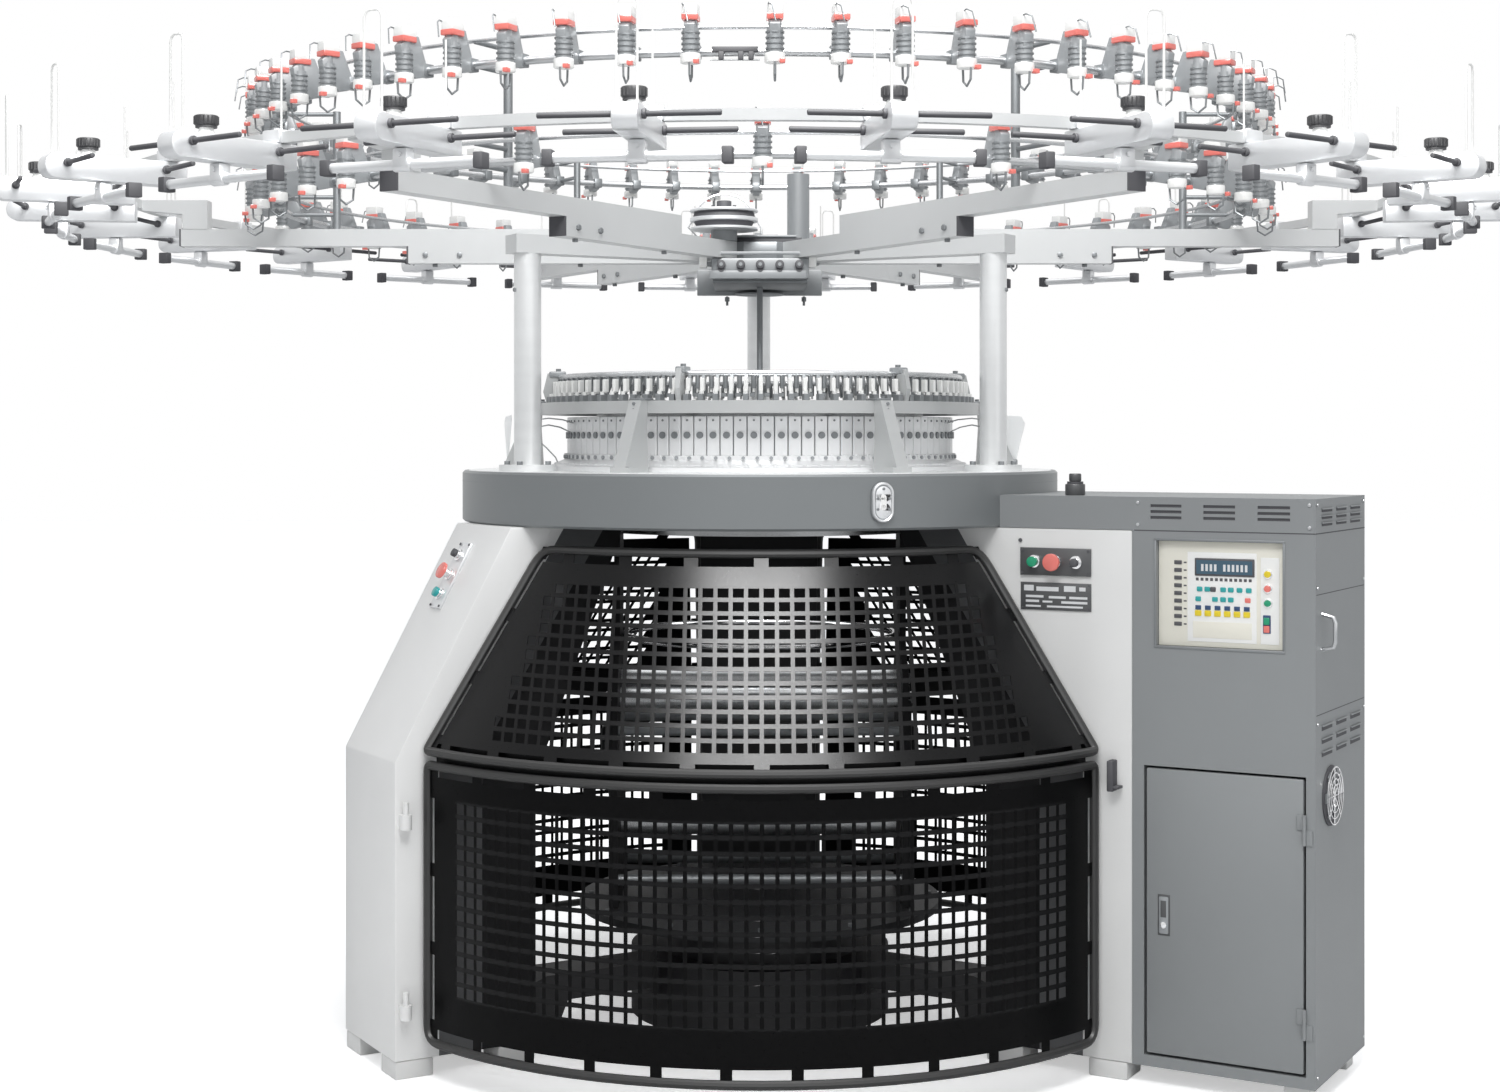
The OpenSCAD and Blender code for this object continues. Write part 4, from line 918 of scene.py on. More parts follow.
@dataclass
class Creel:
    """Outer ring of the creel: bars, rods, hangers, knobs and wires.

    Attributes:
        bars: How many radial bars there are.
        r_in: Radius of the bars' inner end.
        r_out: Radius of their outer end.
        bar_w: Width of a bar.
        bar_z: Height of the bars' underside.
        bar_top: Height of the bars' top.
        nose: Radius of a bar's rounded outer end.
        ring_r: Middle radius of the ring that carries the bars.
        hang_r: Radius at which the tubes hang.
        hang_z: Height of the tubes' axis.
        tube_half: Half of a tube's length over its caps.
        pin_high: How far a wire stands over the bars.
    """

    bars: int = 24
    r_in: float = 1420.0
    r_out: float = 1700.0
    bar_w: float = 43.0
    bar_z: float = 1815.0
    bar_top: float = 1862.0
    nose: float = 22.0
    ring_r: float = 1450.0
    hang_r: float = 1580.0
    hang_z: float = 1787.0
    tube_half: float = 157.5
    pin_high: float = 168.0

    @property
    def phase(self) -> float:
        """Azimuth of the first bar."""
        return 180.0 / self.bars

    def radial_bars(self) -> None:
        """Bars with a rounded nose at the outer end."""
        form = Form()
        outline = [(self.r_in, self.bar_z)]
        for first, middle in ((-90.0, self.bar_z + self.nose), (0.0, self.bar_top - self.nose)):
            for i in range(7):
                out, up = polar(self.nose, first + 15.0 * i)
                outline.append((self.r_out - self.nose + out, middle + up))
        outline.append((self.r_in, self.bar_top))
        form.prism(outline, self.bar_w, bevel=2.5)
        form.around(self.bars, self.phase).piece("cone_bar_set", [Paint.ALUMINIUM], replaces=["cone_bars"],
                                                 slot="silver")

    def rods(self) -> None:
        """Black cross rods with round ends, two on each side of a bar."""
        form = Form()
        z = self.bar_z + 30
        side = self.bar_w / 2
        for r in (self.r_in + 44, self.r_out - 42):
            for s in (-1, 1):
                form.rod((r, s * side, z), (r, s * 150, z), 10, sides=10, bevel=2.0)
                form.rod((r, s * side, z), (r, s * (side + 7), z), 17, sides=12, bevel=1.5)
        form.around(self.bars, self.phase).piece("cone_rod_set", [Paint.BLACK_PLASTIC],
                                                 replaces=["cone_rods"], slot="black_plastic")

    def hangers(self) -> None:
        """Tubes under the bars with their clamps and square caps."""
        form = Form()
        r, z = self.hang_r, self.hang_z
        tube = self.tube_half - 10
        form.rod((r, -tube, z), (r, tube, z), 18, sides=16)
        form.box((r - 13, -14, z - 6), (r + 13, 14, self.bar_z - 1), bevel=3)
        form.rod((r, -17, z), (r, 17, z), 25, sides=16, bevel=2)
        form.rod((r + 12, 0, z + 16), (r + 17, 0, z + 16), 9, sides=6)
        form.around(self.bars, self.phase).piece("hanger_set", [Paint.ALUMINIUM], replaces=["hanger_tubes"],
                                                 slot="silver")
        caps = Form()
        for s in (-1, 1):
            low, high = sorted((s * (self.tube_half - 17.5), s * self.tube_half))
            caps.box((r - 13.5, low, z - 13.5), (r + 13.5, high, z + 13.5), bevel=2)
        caps.around(self.bars, self.phase).piece("hanger_cap_set", [Paint.BLACK_PLASTIC],
                                                 replaces=["hanger_caps"], slot="black_plastic")

    def knobs(self) -> None:
        """Knurled tension knobs on white necks."""
        form = Form()
        r, z = self.r_out - 90, self.bar_top
        form.rod((r, 0, z), (r, 0, z + 13), 30, sides=20, d_end=24, slot=1)
        form.rod((r, 0, z + 12), (r, 0, z + 16), 38, sides=20, slot=0)
        form.rod((r, 0, z + 16), (r, 0, z + 34), 42, sides=24, bevel=2.5)
        for i in range(18):
            x, y = polar(20.5, 20.0 * i)
            form.box((r + x - 1.2, y - 1.2, z + 18), (r + x + 1.2, y + 1.2, z + 32))
        form.around(self.bars, self.phase).piece("knob_set", [Paint.GRIP, Paint.WHITE_PLASTIC],
                                                 replaces=["knob_cups"], slot="black_plastic")

    def wires(self) -> None:
        """White hairpin wires and single posts on the bars."""
        pins = Form()
        r, post = self.r_out - 26, self.r_in + 20
        low, top = self.bar_top - 2, self.bar_top + self.pin_high
        path = [(r, -17, low), (r, -17, top - 12), (r, -13, top - 3), (r, -6, top), (r, 8, top),
                (r, 14, top - 3), (r, 17, top - 12), (r, 17, low)]
        pins.wire(path, 4.5, sides=6)
        pins.wire([(post, 0, self.bar_top + 14), (post, 0, top - 10)], 4.0, sides=6)
        pins.around(self.bars, self.phase).piece("wire_set", [Paint.WIRE], replaces=["wire_posts"],
                                                 slot="wire_white")

    def ring(self) -> None:
        """Clamp blocks between the ring and the bars."""
        form = Form()
        r, z = self.ring_r, self.bar_top
        form.box((r - 16, -24, z), (r + 16, 24, z + 25), bevel=4)
        form.rod((r, 0, z + 24), (r, 0, z + 29), 12, sides=6)
        form.around(self.bars, self.phase).piece("ring_clamps", [Paint.ALUMINIUM])

    def build(self) -> None:
        """Builds the whole outer creel."""
        self.radial_bars()
        self.rods()
        self.hangers()
        self.knobs()
        self.wires()
        self.ring()


@dataclass
class YarnFeeders:
    """Storage feeders on the two rings.

    Attributes:
        ring_r: Radius of the ring.
        rings: Height of the upper and the lower ring.
        count: Places on the upper ring.
        low_places: Places on the lower ring.
        front_gap: Angle that the upper ring leaves free at the front.
        front_first: Angle from the front to the first feeder beside it.
        low_bare: Half of the angle at the front that is nearly bare on the lower ring.
        low_step: Angle between the few feeders that stand there.
    """

    ring_r: float = 1100.0
    rings: Flat = (2039.0, 1850.0)
    count: int = 60
    low_places: int = 48
    front_gap: float = 7.6
    front_first: float = 1.1
    low_bare: float = 48.0
    low_step: float = 22.5

    def feeder(self, z: float) -> Form:
        """Models one feeder in front of the ring at a height.

        Args:
            z: Height of the ring.

        Returns:
            The form with its four finishes: white, gray, red, dark.
        """
        form = Form()
        white, gray, red, dark = range(4)
        r = self.ring_r + 9
        wheel = r + 48
        form.prism([(r - 2, z - 14), (r + 26, z - 20), (r + 60, z + 8), (r + 66, z + 40), (r + 40, z + 62),
                    (r + 18, z + 62), (r - 2, z + 14)], 20, bevel=2, slot=gray)
        form.box((r + 28, -15, z + 48), (r + 65, 15, z + 59), bevel=2, slot=red)
        form.box((r + 28, -14, z + 58), (r + 64, 14, z + 78), bevel=2, slot=white)
        form.rod((wheel, 0, z + 33), (wheel, 0, z + 49), 24, sides=12, slot=gray)
        form.rod((wheel, 0, z - 12), (wheel, 0, z + 34), 30, sides=12, slot=gray)
        for coil in range(4):
            low = z - 6 + 10 * coil
            form.rod((wheel, 0, low), (wheel, 0, low + 3), 35, sides=12, slot=dark)
        form.rod((wheel, 0, z - 30), (wheel, 0, z - 12), 38, sides=14, slot=white, bevel=2)
        form.box((r + 60, 8, z - 33), (r + 73, 18, z - 25), bevel=1, slot=red)
        form.wire([(r + 30, 0, z - 28), (r + 32, 0, z - 52), (wheel, 0, z - 62), (r + 64, 0, z - 52),
                   (r + 66, 0, z - 30)], 4.5, sides=6, slot=dark)
        form.wire([(r + 60, -12, z + 74), (r + 72, -12, z + 75), (r + 84, -6, z + 69), (r + 88, 0, z + 40)],
                  3.0, sides=6, slot=dark)
        form.box((r - 22, -11, z - 12), (r + 4, 11, z + 13), bevel=2, slot=dark)
        return form

    def low_free(self, azimuth: float) -> bool:
        """Tells whether the lower ring leaves a place empty.

        Args:
            azimuth: Direction of the place in degrees.

        Returns:
            True if nothing stands there.
        """
        off = abs(azimuth - FRONT)
        post = azimuth % 60.0 == 0.0
        return post or (off <= self.low_bare and off % self.low_step != 0.0)

    def build(self) -> None:
        """Builds both rings of feeders."""
        finishes = [Paint.WHITE_PLASTIC, Paint.MID_GRAY, Paint.RED, Paint.DARK_STEEL]
        step = (360.0 - self.front_gap) / (self.count - 1)
        self.feeder(self.rings[0]).around(self.count, FRONT + self.front_first, step=step).piece(
            "feeder_set_upper", finishes, replaces=["feeders_upper"], slot="white_plastic")
        self.feeder(self.rings[1]).around(self.low_places, 0.0, self.low_free).piece(
            "feeder_set_lower", finishes, replaces=["feeders_lower"], slot="white_plastic")


@dataclass
class KnittingHead:
    """Cam boxes, carriers, rings and brackets over the bed.

    Attributes:
        feeders: Number of cam boxes.
        cam_r: Outer radius of the cam boxes.
        cam_z: Height where they start.
        cam_top: Height where they end.
        yarn_z: Heights of the yarn ring's underside and top.
        yarn_r: Middle radius of the yarn ring.
        guide_r: Radius of the top guide ring.
        guide_z: Height of its axis.
        eye_phase: Angle from a carrier to the eye beside it.
        clamp_phase: Azimuth of the first clamp on the guide ring.
        plate_x: Distance of the clear plates from the axis.
    """

    feeders: int = 96
    cam_r: float = 450.0
    cam_z: float = 1290.0
    cam_top: float = 1375.0
    yarn_z: Flat = (1381.0, 1408.0)
    yarn_r: float = 510.0
    guide_r: float = 465.0
    guide_z: float = 1466.0
    eye_phase: float = 1.9
    clamp_phase: float = 9.375
    plate_x: float = 588.0

    def cams(self) -> None:
        """Cam boxes: a bright plate with a round plug, a lever below and a foot block on the bed."""
        form = Form(25.0)
        half = math.pi * self.cam_r / self.feeders - 1.3
        r, z0, z1 = self.cam_r, self.cam_z, self.cam_top
        form.box((r - 14, -half, z0), (r - 1, half, z1), bevel=1.2, slot=0, segments=1)
        form.rod((r - 6, 0, z0 + 44), (r + 2.5, 0, z0 + 44), 15, sides=12, slot=1)
        form.rod((r - 6, 0, z1 - 9), (r + 0.6, 0, z1 - 9), 5, sides=6, slot=1)
        form.box((r - 16, -half + 2, z0 - 19), (r - 3, half - 2, z0 - 1), slot=1)
        lever = form.box((r - 3, -2.6, z0 - 21), (r + 6, 2.6, z0 + 3), slot=0)
        bmesh.ops.rotate(form.bm, cent=(r, 0, z0 - 9), matrix=spin_about(38.0, "X"), verts=lever)
        form.rod((r - 3, half * 0.55, z0 - 5), (r + 8, half * 0.55, z0 - 5), 8, sides=8, slot=2)
        form.box((r - 14, -half, z0 - 36), (r + 30, half, z0 - 19), bevel=1.5, slot=0, segments=1)
        form = form.around(self.feeders, 180.0 / self.feeders)
        # Dark ring behind the plates: painted shade in the gaps between them.
        form.lathe([(r - 30, z0 - 30), (r - 8, z0 - 30), (r - 8, z1 - 2), (r - 30, z1 - 2)], slot=1)
        form.piece("cam_box_set", [Paint.CAM_PLATE, Paint.DARK_STEEL, Paint.MID_GRAY],
                   replaces=["cam_boxes"], slot="steel")

    def carriers(self) -> None:
        """Yarn carriers: a dark holder on the ring and a white finger up to the guide ring."""
        form = Form(25.0)
        z = self.yarn_z[1]
        r = self.guide_r
        form.box((r + 12, -6.0, z), (r + 34, 6.0, z + 14), bevel=1.0, slot=1, segments=1)
        form.rod((r + 24, 0, z + 13), (r + 24, 0, z + 21), 9, sides=8, slot=0)
        form.box((r + 8, -4.6, z + 20), (r + 20, 4.6, z + 48), bevel=1.0, slot=0, segments=1)
        form.prism([(r - 6, z + 52), (r + 8, z + 22), (r + 16, z + 22), (r + 6, z + 56)], 7, slot=1)
        form.around(self.feeders).piece("carrier_set", [Paint.WHITE_PLASTIC, Paint.DARK_STEEL],
                                        replaces=["yarn_carriers"], slot="white_plastic")

    def comb(self) -> None:
        """Dark yarn tubes that hang from the top ring, with the row of eyes below."""
        form = Form(25.0)
        r, z = self.guide_r, self.guide_z
        form.rod((r, 0, z - 32), (r, 0, z - 1), 11, sides=8, slot=0)
        form.rod((r, 0, z - 40), (r, 0, z - 32), 6, sides=6, slot=1)
        form.box((r - 8, -8, z - 50), (r + 8, 3, z - 42), slot=0)
        form.around(self.feeders, self.eye_phase).piece(
            "guide_eye_set", [Paint.DARK_STEEL, Paint.WHITE_PLASTIC])

    def bolts(self) -> None:
        """Screws on the brackets, hooked arms and yarn ring joints."""
        form = Form()
        r = self.yarn_r
        low, top = self.yarn_z
        for z in (low + 7, low + 20):
            form.rod((r + 27, 0, z), (r + 33, 0, z), 7, sides=6)
        form.rod((r + 70, 0, BED_TOP + 13), (r + 70, 0, BED_TOP + 20), 13, sides=6)
        form.box((r - 22, -17, top), (r + 16, 17, top + 5), bevel=1.5)
        for s in (-1, 1):
            form.rod((r - 2, 9 * s, top + 4), (r - 2, 9 * s, top + 10), 9, sides=6)
        form.around(6).piece("bracket_screws", [Paint.DARK_STEEL])
        clamps = Form()
        r, z = self.guide_r, self.guide_z
        clamps.box((r - 11, -11, z + 1), (r + 27, 11, z + 15), bevel=3)
        clamps.rod((r + 6, 0, z + 14), (r + 6, 0, z + 21), 12, sides=10, slot=1)
        clamps.around(6, self.clamp_phase).piece("guide_clamps", [Paint.MID_GRAY, Paint.DARK_STEEL])

    def air_plates(self) -> None:
        """Clear plates beside the side columns, the left one nearly edge-on to the front."""
        form = Form()
        z = BED_TOP
        outline = [(0, z + 22), (12, z + 22), (33, z + 108), (24, z + 124), (-22, z + 128), (-26, z + 120)]
        for s, narrow in ((1, 1.0), (-1, 0.3)):
            made = [*form.prism(outline, 3.0, bevel=0.8, slot=0),
                    *form.box((-14, -14, z - 1), (14, 14, z + 24), bevel=2.5, slot=1)]
            for vert in made:
                vert.co.x *= s * narrow
            form.shift(made, (s * self.plate_x, 0.0, 0))
        form.piece("air_plates", [Paint.CLEAR_WHITE, Paint.MID_GRAY])

    def leads(self) -> None:
        """Thin leads from the cams to the side columns."""
        form = Form()
        upper = [(425, -150, 1362), (446, -185, 1369), (474, -225, 1372), (497, -262, 1368)]
        lower = [(430, -140, 1340), (452, -180, 1352), (474, -225, 1357), (494, -260, 1352)]
        loop = [(-505, 20, 1392), (-540, 5, 1390), (-556, -5, 1376), (-552, -8, 1352), (-528, -10, 1330),
                (-500, -8, 1306), (-478, 0, 1282), (-470, 2, 1262)]
        for s in (1, -1):
            for path in (upper, lower):
                form.wire([(s * x, y, z) for x, y, z in path], 3.0, sides=6)
        form.wire(loop, 3.0, sides=6)
        form.piece("head_leads", [Paint.STEEL])

    def build(self) -> None:
        """Builds the head's dress."""
        self.cams()
        self.carriers()
        self.comb()
        self.bolts()
        self.air_plates()
        self.leads()


@dataclass
class Legs:
    """Leg housings with soft edges, button plates, buttons and the blank data plate.

    Attributes:
        out_r: Radius of the outer face.
        in_r: Radius of the inner face near the floor.
        hip_r: Radius where the leaning face meets the bed.
        top_in_r: Radius of the inner edge under the bed.
        knees: Heights where the outer and the inner face start to lean.
        tall_out: How far the right leg's outer face stands further out.
        plate: Length and height of a button plate.
        step: Distance between two buttons.
        inside: Radius and height of two points on the line behind which the leg gets painted shade from the
            guards.
        shade: Distance behind that line from which the painted shade is black instead of gray.
        pad: Side of a pad under a leg.
        cabinet_pad_u: Radial reach of the pads under the cabinet.
        cabinet_pad_n: Places of those pads across.
        switch: Radius and height of the switch box.
        side_down: How far the left leg's button plate lies under the bed.
        side_n: Place of that plate across the leg.
    """

    out_r: float = 960.0
    in_r: float = 640.0
    hip_r: float = 699.0
    top_in_r: float = 430.0
    knees: Flat = (657.0, 600.0)
    tall_out: float = 10.0
    plate: Flat = (158.0, 58.0)
    step: float = 47.0
    inside: tuple[Flat, Flat] = ((862.0, 665.0), (602.0, 1091.0))
    shade: float = 97.0
    pad: float = 85.0
    cabinet_pad_u: Flat = (1280.0, 1331.0)
    cabinet_pad_n: Flat = (-105.5, 180.5)
    switch: Flat = (924.0, 599.0)
    side_down: float = 111.0
    side_n: float = -29.0

    def housing(self, azimuth: float, name: str, node: str, finish: Finish) -> None:
        """Builds one leg housing.

        Args:
            azimuth: Direction of the leg.
            name: Name of the piece.
            node: Frame node that it stands for.
            finish: Its paint.
        """
        form = Form(30.0)
        if azimuth == LEG_RIGHT:
            outer = [(self.out_r + self.tall_out, FLOOR_GAP), (self.out_r + self.tall_out, BODY_TOP)]
        else:
            outer = [(self.out_r, FLOOR_GAP), (self.out_r, self.knees[0]), (self.hip_r, BODY_TOP)]
        inner = [(self.top_in_r, BODY_TOP), (self.in_r, self.knees[1]), (self.in_r, FLOOR_GAP)]
        form.prism([*outer, *inner], 2 * HALF_LEG, bevel=4.0)
        (r0, z0), (r1, z1) = self.inside
        for depth in (0.0, self.shade):
            for out in ((1, 0, 0), (z1 - z0, 0, r0 - r1)):
                geom = form.bm.verts[:] + form.bm.edges[:] + form.bm.faces[:]
                bmesh.ops.bisect_plane(form.bm, geom=geom, dist=0.001, plane_co=(r0 - depth, 0, z0),
                                       plane_no=out)
        # Painted shade: faces behind the line turn gray, and black further in, for the shade under the
        # guards.
        for face in form.bm.faces:
            u, _, z = face.calc_center_median()
            reach = r0 if z < z0 else r0 + (r1 - r0) * min(1.0, (z - z0) / (z1 - z0))
            face.material_index = int(u < reach) + int(u < reach - self.shade)
        form.turn(form.bm.verts, azimuth)
        slot = "leg_gray" if finish is Paint.LEG_GRAY else "leg_light"
        form.piece(name, [finish, Paint.SHADE_GRAY, Paint.SHADE_BLACK], replaces=[node], slot=slot)

    def feet(self) -> None:
        """Builds the pale pads under the legs and the cabinet."""
        form = Form()
        half = self.pad / 2
        inset = half + 2.0
        for azimuth in LEGS:
            made = []
            for u in (self.in_r + inset, self.out_r - inset):
                for n in (inset - HALF_LEG, HALF_LEG - inset):
                    made += form.box((u - half, n - half, 0), (u + half, n + half, FLOOR_GAP), bevel=4)
            if azimuth == LEG_RIGHT:
                near, far = self.cabinet_pad_u
                for n in self.cabinet_pad_n:
                    made += form.box((near, n - 25, 0), (far, n + 25, FLOOR_GAP), bevel=4)
            form.turn(made, azimuth)
        form.piece("foot_pads", [Paint.LEG_GRAY], replaces=["leg_feet"], slot="foot_black")

    def button(self, form: Form, x: float, z: float, cap: tuple[float, float, int]) -> None:
        """Adds an upright push button with a chrome collar.

        Args:
            form: The form that it is added to.
            x: Its place along the plate.
            z: Height of the plate's face.
            cap: Diameter, rise and colour slot of its cap.
        """
        d, rise, slot = cap
        top = z + 5 + rise
        form.rod((x, 0, z), (x, 0, z + 5), 28, sides=24, slot=1, bevel=1.5)
        form.rod((x, 0, z + 4), (x, 0, top - 9), 19, sides=20, slot=1)
        form.rod((x, 0, top - 9), (x, 0, top), d, sides=24, slot=slot, bevel=3.0 if d > 30 else 1.5)

    def panel(self, form: Form, caps: Sequence[tuple[float, float, int]]) -> None:
        """Adds a button plate with screws and three buttons, flat on the plane z = 0.

        Args:
            form: The form that it is added to.
            caps: Diameter, rise and colour slot of each cap.
        """
        lx, ly = self.plate[0] / 2, self.plate[1] / 2
        form.box((-lx, -ly, 0), (lx, ly, 6), bevel=1.2, slot=0)
        for x in (-lx + 5, lx - 5):
            for y in (-ly + 5, ly - 5):
                form.rod((x, y, 5), (x, y, 8), 6, sides=6, slot=2)
        for i, cap in enumerate(caps):
            self.button(form, (i - 1) * self.step, 6, cap)

    def plates(self) -> None:
        """Builds the button plates on the right and the left leg."""
        finishes = [Paint.PLATE, Paint.CHROME, Paint.BLACK_PLASTIC, Paint.GREEN, Paint.RED, Paint.TEAL]
        black, green, red, teal = range(2, 6)
        front = Form()
        self.panel(front, [(22, 12, green), (37, 22, red), (18, 14, black)])
        stand = Matrix.Rotation(math.radians(90.0), 4, "X")
        place = Matrix.Translation((self.hip_r + 24 + self.plate[0] / 2, -HALF_LEG, BODY_TOP - 70))
        bmesh.ops.transform(front.bm, matrix=place @ stand, verts=front.bm.verts)
        front.turn(front.bm.verts, LEG_RIGHT)
        front.piece("button_set_front", finishes, slot="dark_steel")
        lean = math.atan2(self.out_r - self.hip_r, BODY_TOP - self.knees[0])
        side = Form()
        self.panel(side, [(18, 14, black), (37, 22, red), (22, 12, teal)])
        u = self.hip_r + self.side_down * math.tan(lean)
        place = Matrix.Translation((u, self.side_n, BODY_TOP - self.side_down))
        tip = Matrix.Rotation(math.radians(90.0) - lean, 4, "Y")
        bmesh.ops.transform(side.bm, matrix=place @ tip, verts=side.bm.verts)
        side.turn(side.bm.verts, LEG_LEFT)
        side.piece("button_set_side", [Paint.ALUMINIUM, *finishes[1:]], replaces=["push_buttons"],
                   slot="red_plastic")

    def latch(self) -> None:
        """Builds the slim switch box beside the gate."""
        form = Form()
        (u, z), n = self.switch, -HALF_LEG
        form.box((u, n - 28, z), (u + 14, n, z + 64), bevel=2.5)
        form.box((u + 1, n - 26, z + 6), (u + 26, n - 1, z + 12), bevel=1.5)
        form.rod((u + 7, n - 14, z + 60), (u + 7, n - 14, z + 64), 8, sides=12, slot=1)
        form.turn(form.bm.verts, LEG_RIGHT)
        form.piece("gate_switch", [Paint.BLACK_PLASTIC, Paint.DARK_STEEL], replaces=["gate_latch"],
                   slot="mid_gray")

    def data_plate(self) -> None:
        """Builds the dark plate with blank fields."""
        form = Form()
        u0, z0 = self.hip_r + 24, BODY_TOP - 172
        w, h = self.plate
        n = -HALF_LEG
        form.box((u0, n - 3, z0), (u0 + w, n, z0 + h), bevel=0.8, slot=0)
        fields = [(8, 40, 22, 12), (36, 40, 50, 9), (98, 40, 26, 12), (132, 42, 14, 8), (12, 26, 40, 5),
                  (64, 25, 38, 5), (110, 25, 40, 5), (12, 16, 30, 5), (50, 16, 22, 4), (92, 15, 58, 5),
                  (12, 6, 34, 4), (60, 6, 80, 4)]
        for x, z, fw, fh in fields:
            form.box((u0 + x, n - 3.4, z0 + z), (u0 + x + fw, n - 2.6, z0 + z + fh), slot=1)
        for x in (4, w - 4):
            for z in (4, h - 4):
                form.rod((u0 + x, n - 4.2, z0 + z), (u0 + x, n - 3, z0 + z), 4, sides=8, slot=2)
        form.rod((u0 - 1, n - 4, BODY_TOP - 26), (u0 - 1, n, BODY_TOP - 26), 8, sides=8, slot=2)
        form.turn(form.bm.verts, LEG_RIGHT)
        form.piece("data_plate", [Paint.PLATE, Paint.ALUMINIUM, Paint.BLACK_PLASTIC],
                   replaces=["button_plates"], slot="dark_steel")

    def build(self) -> None:
        """Builds all three legs and their plates."""
        self.housing(LEG_LEFT, "leg_shell_left", "leg_left", Paint.LEG_LIGHT)
        self.housing(LEG_RIGHT, "leg_shell_right", "leg_right", Paint.LEG_GRAY)
        self.housing(LEG_REAR, "leg_shell_rear", "leg_rear", Paint.LEG_LIGHT)
        self.feet()
        self.plates()
        self.latch()
        self.data_plate()


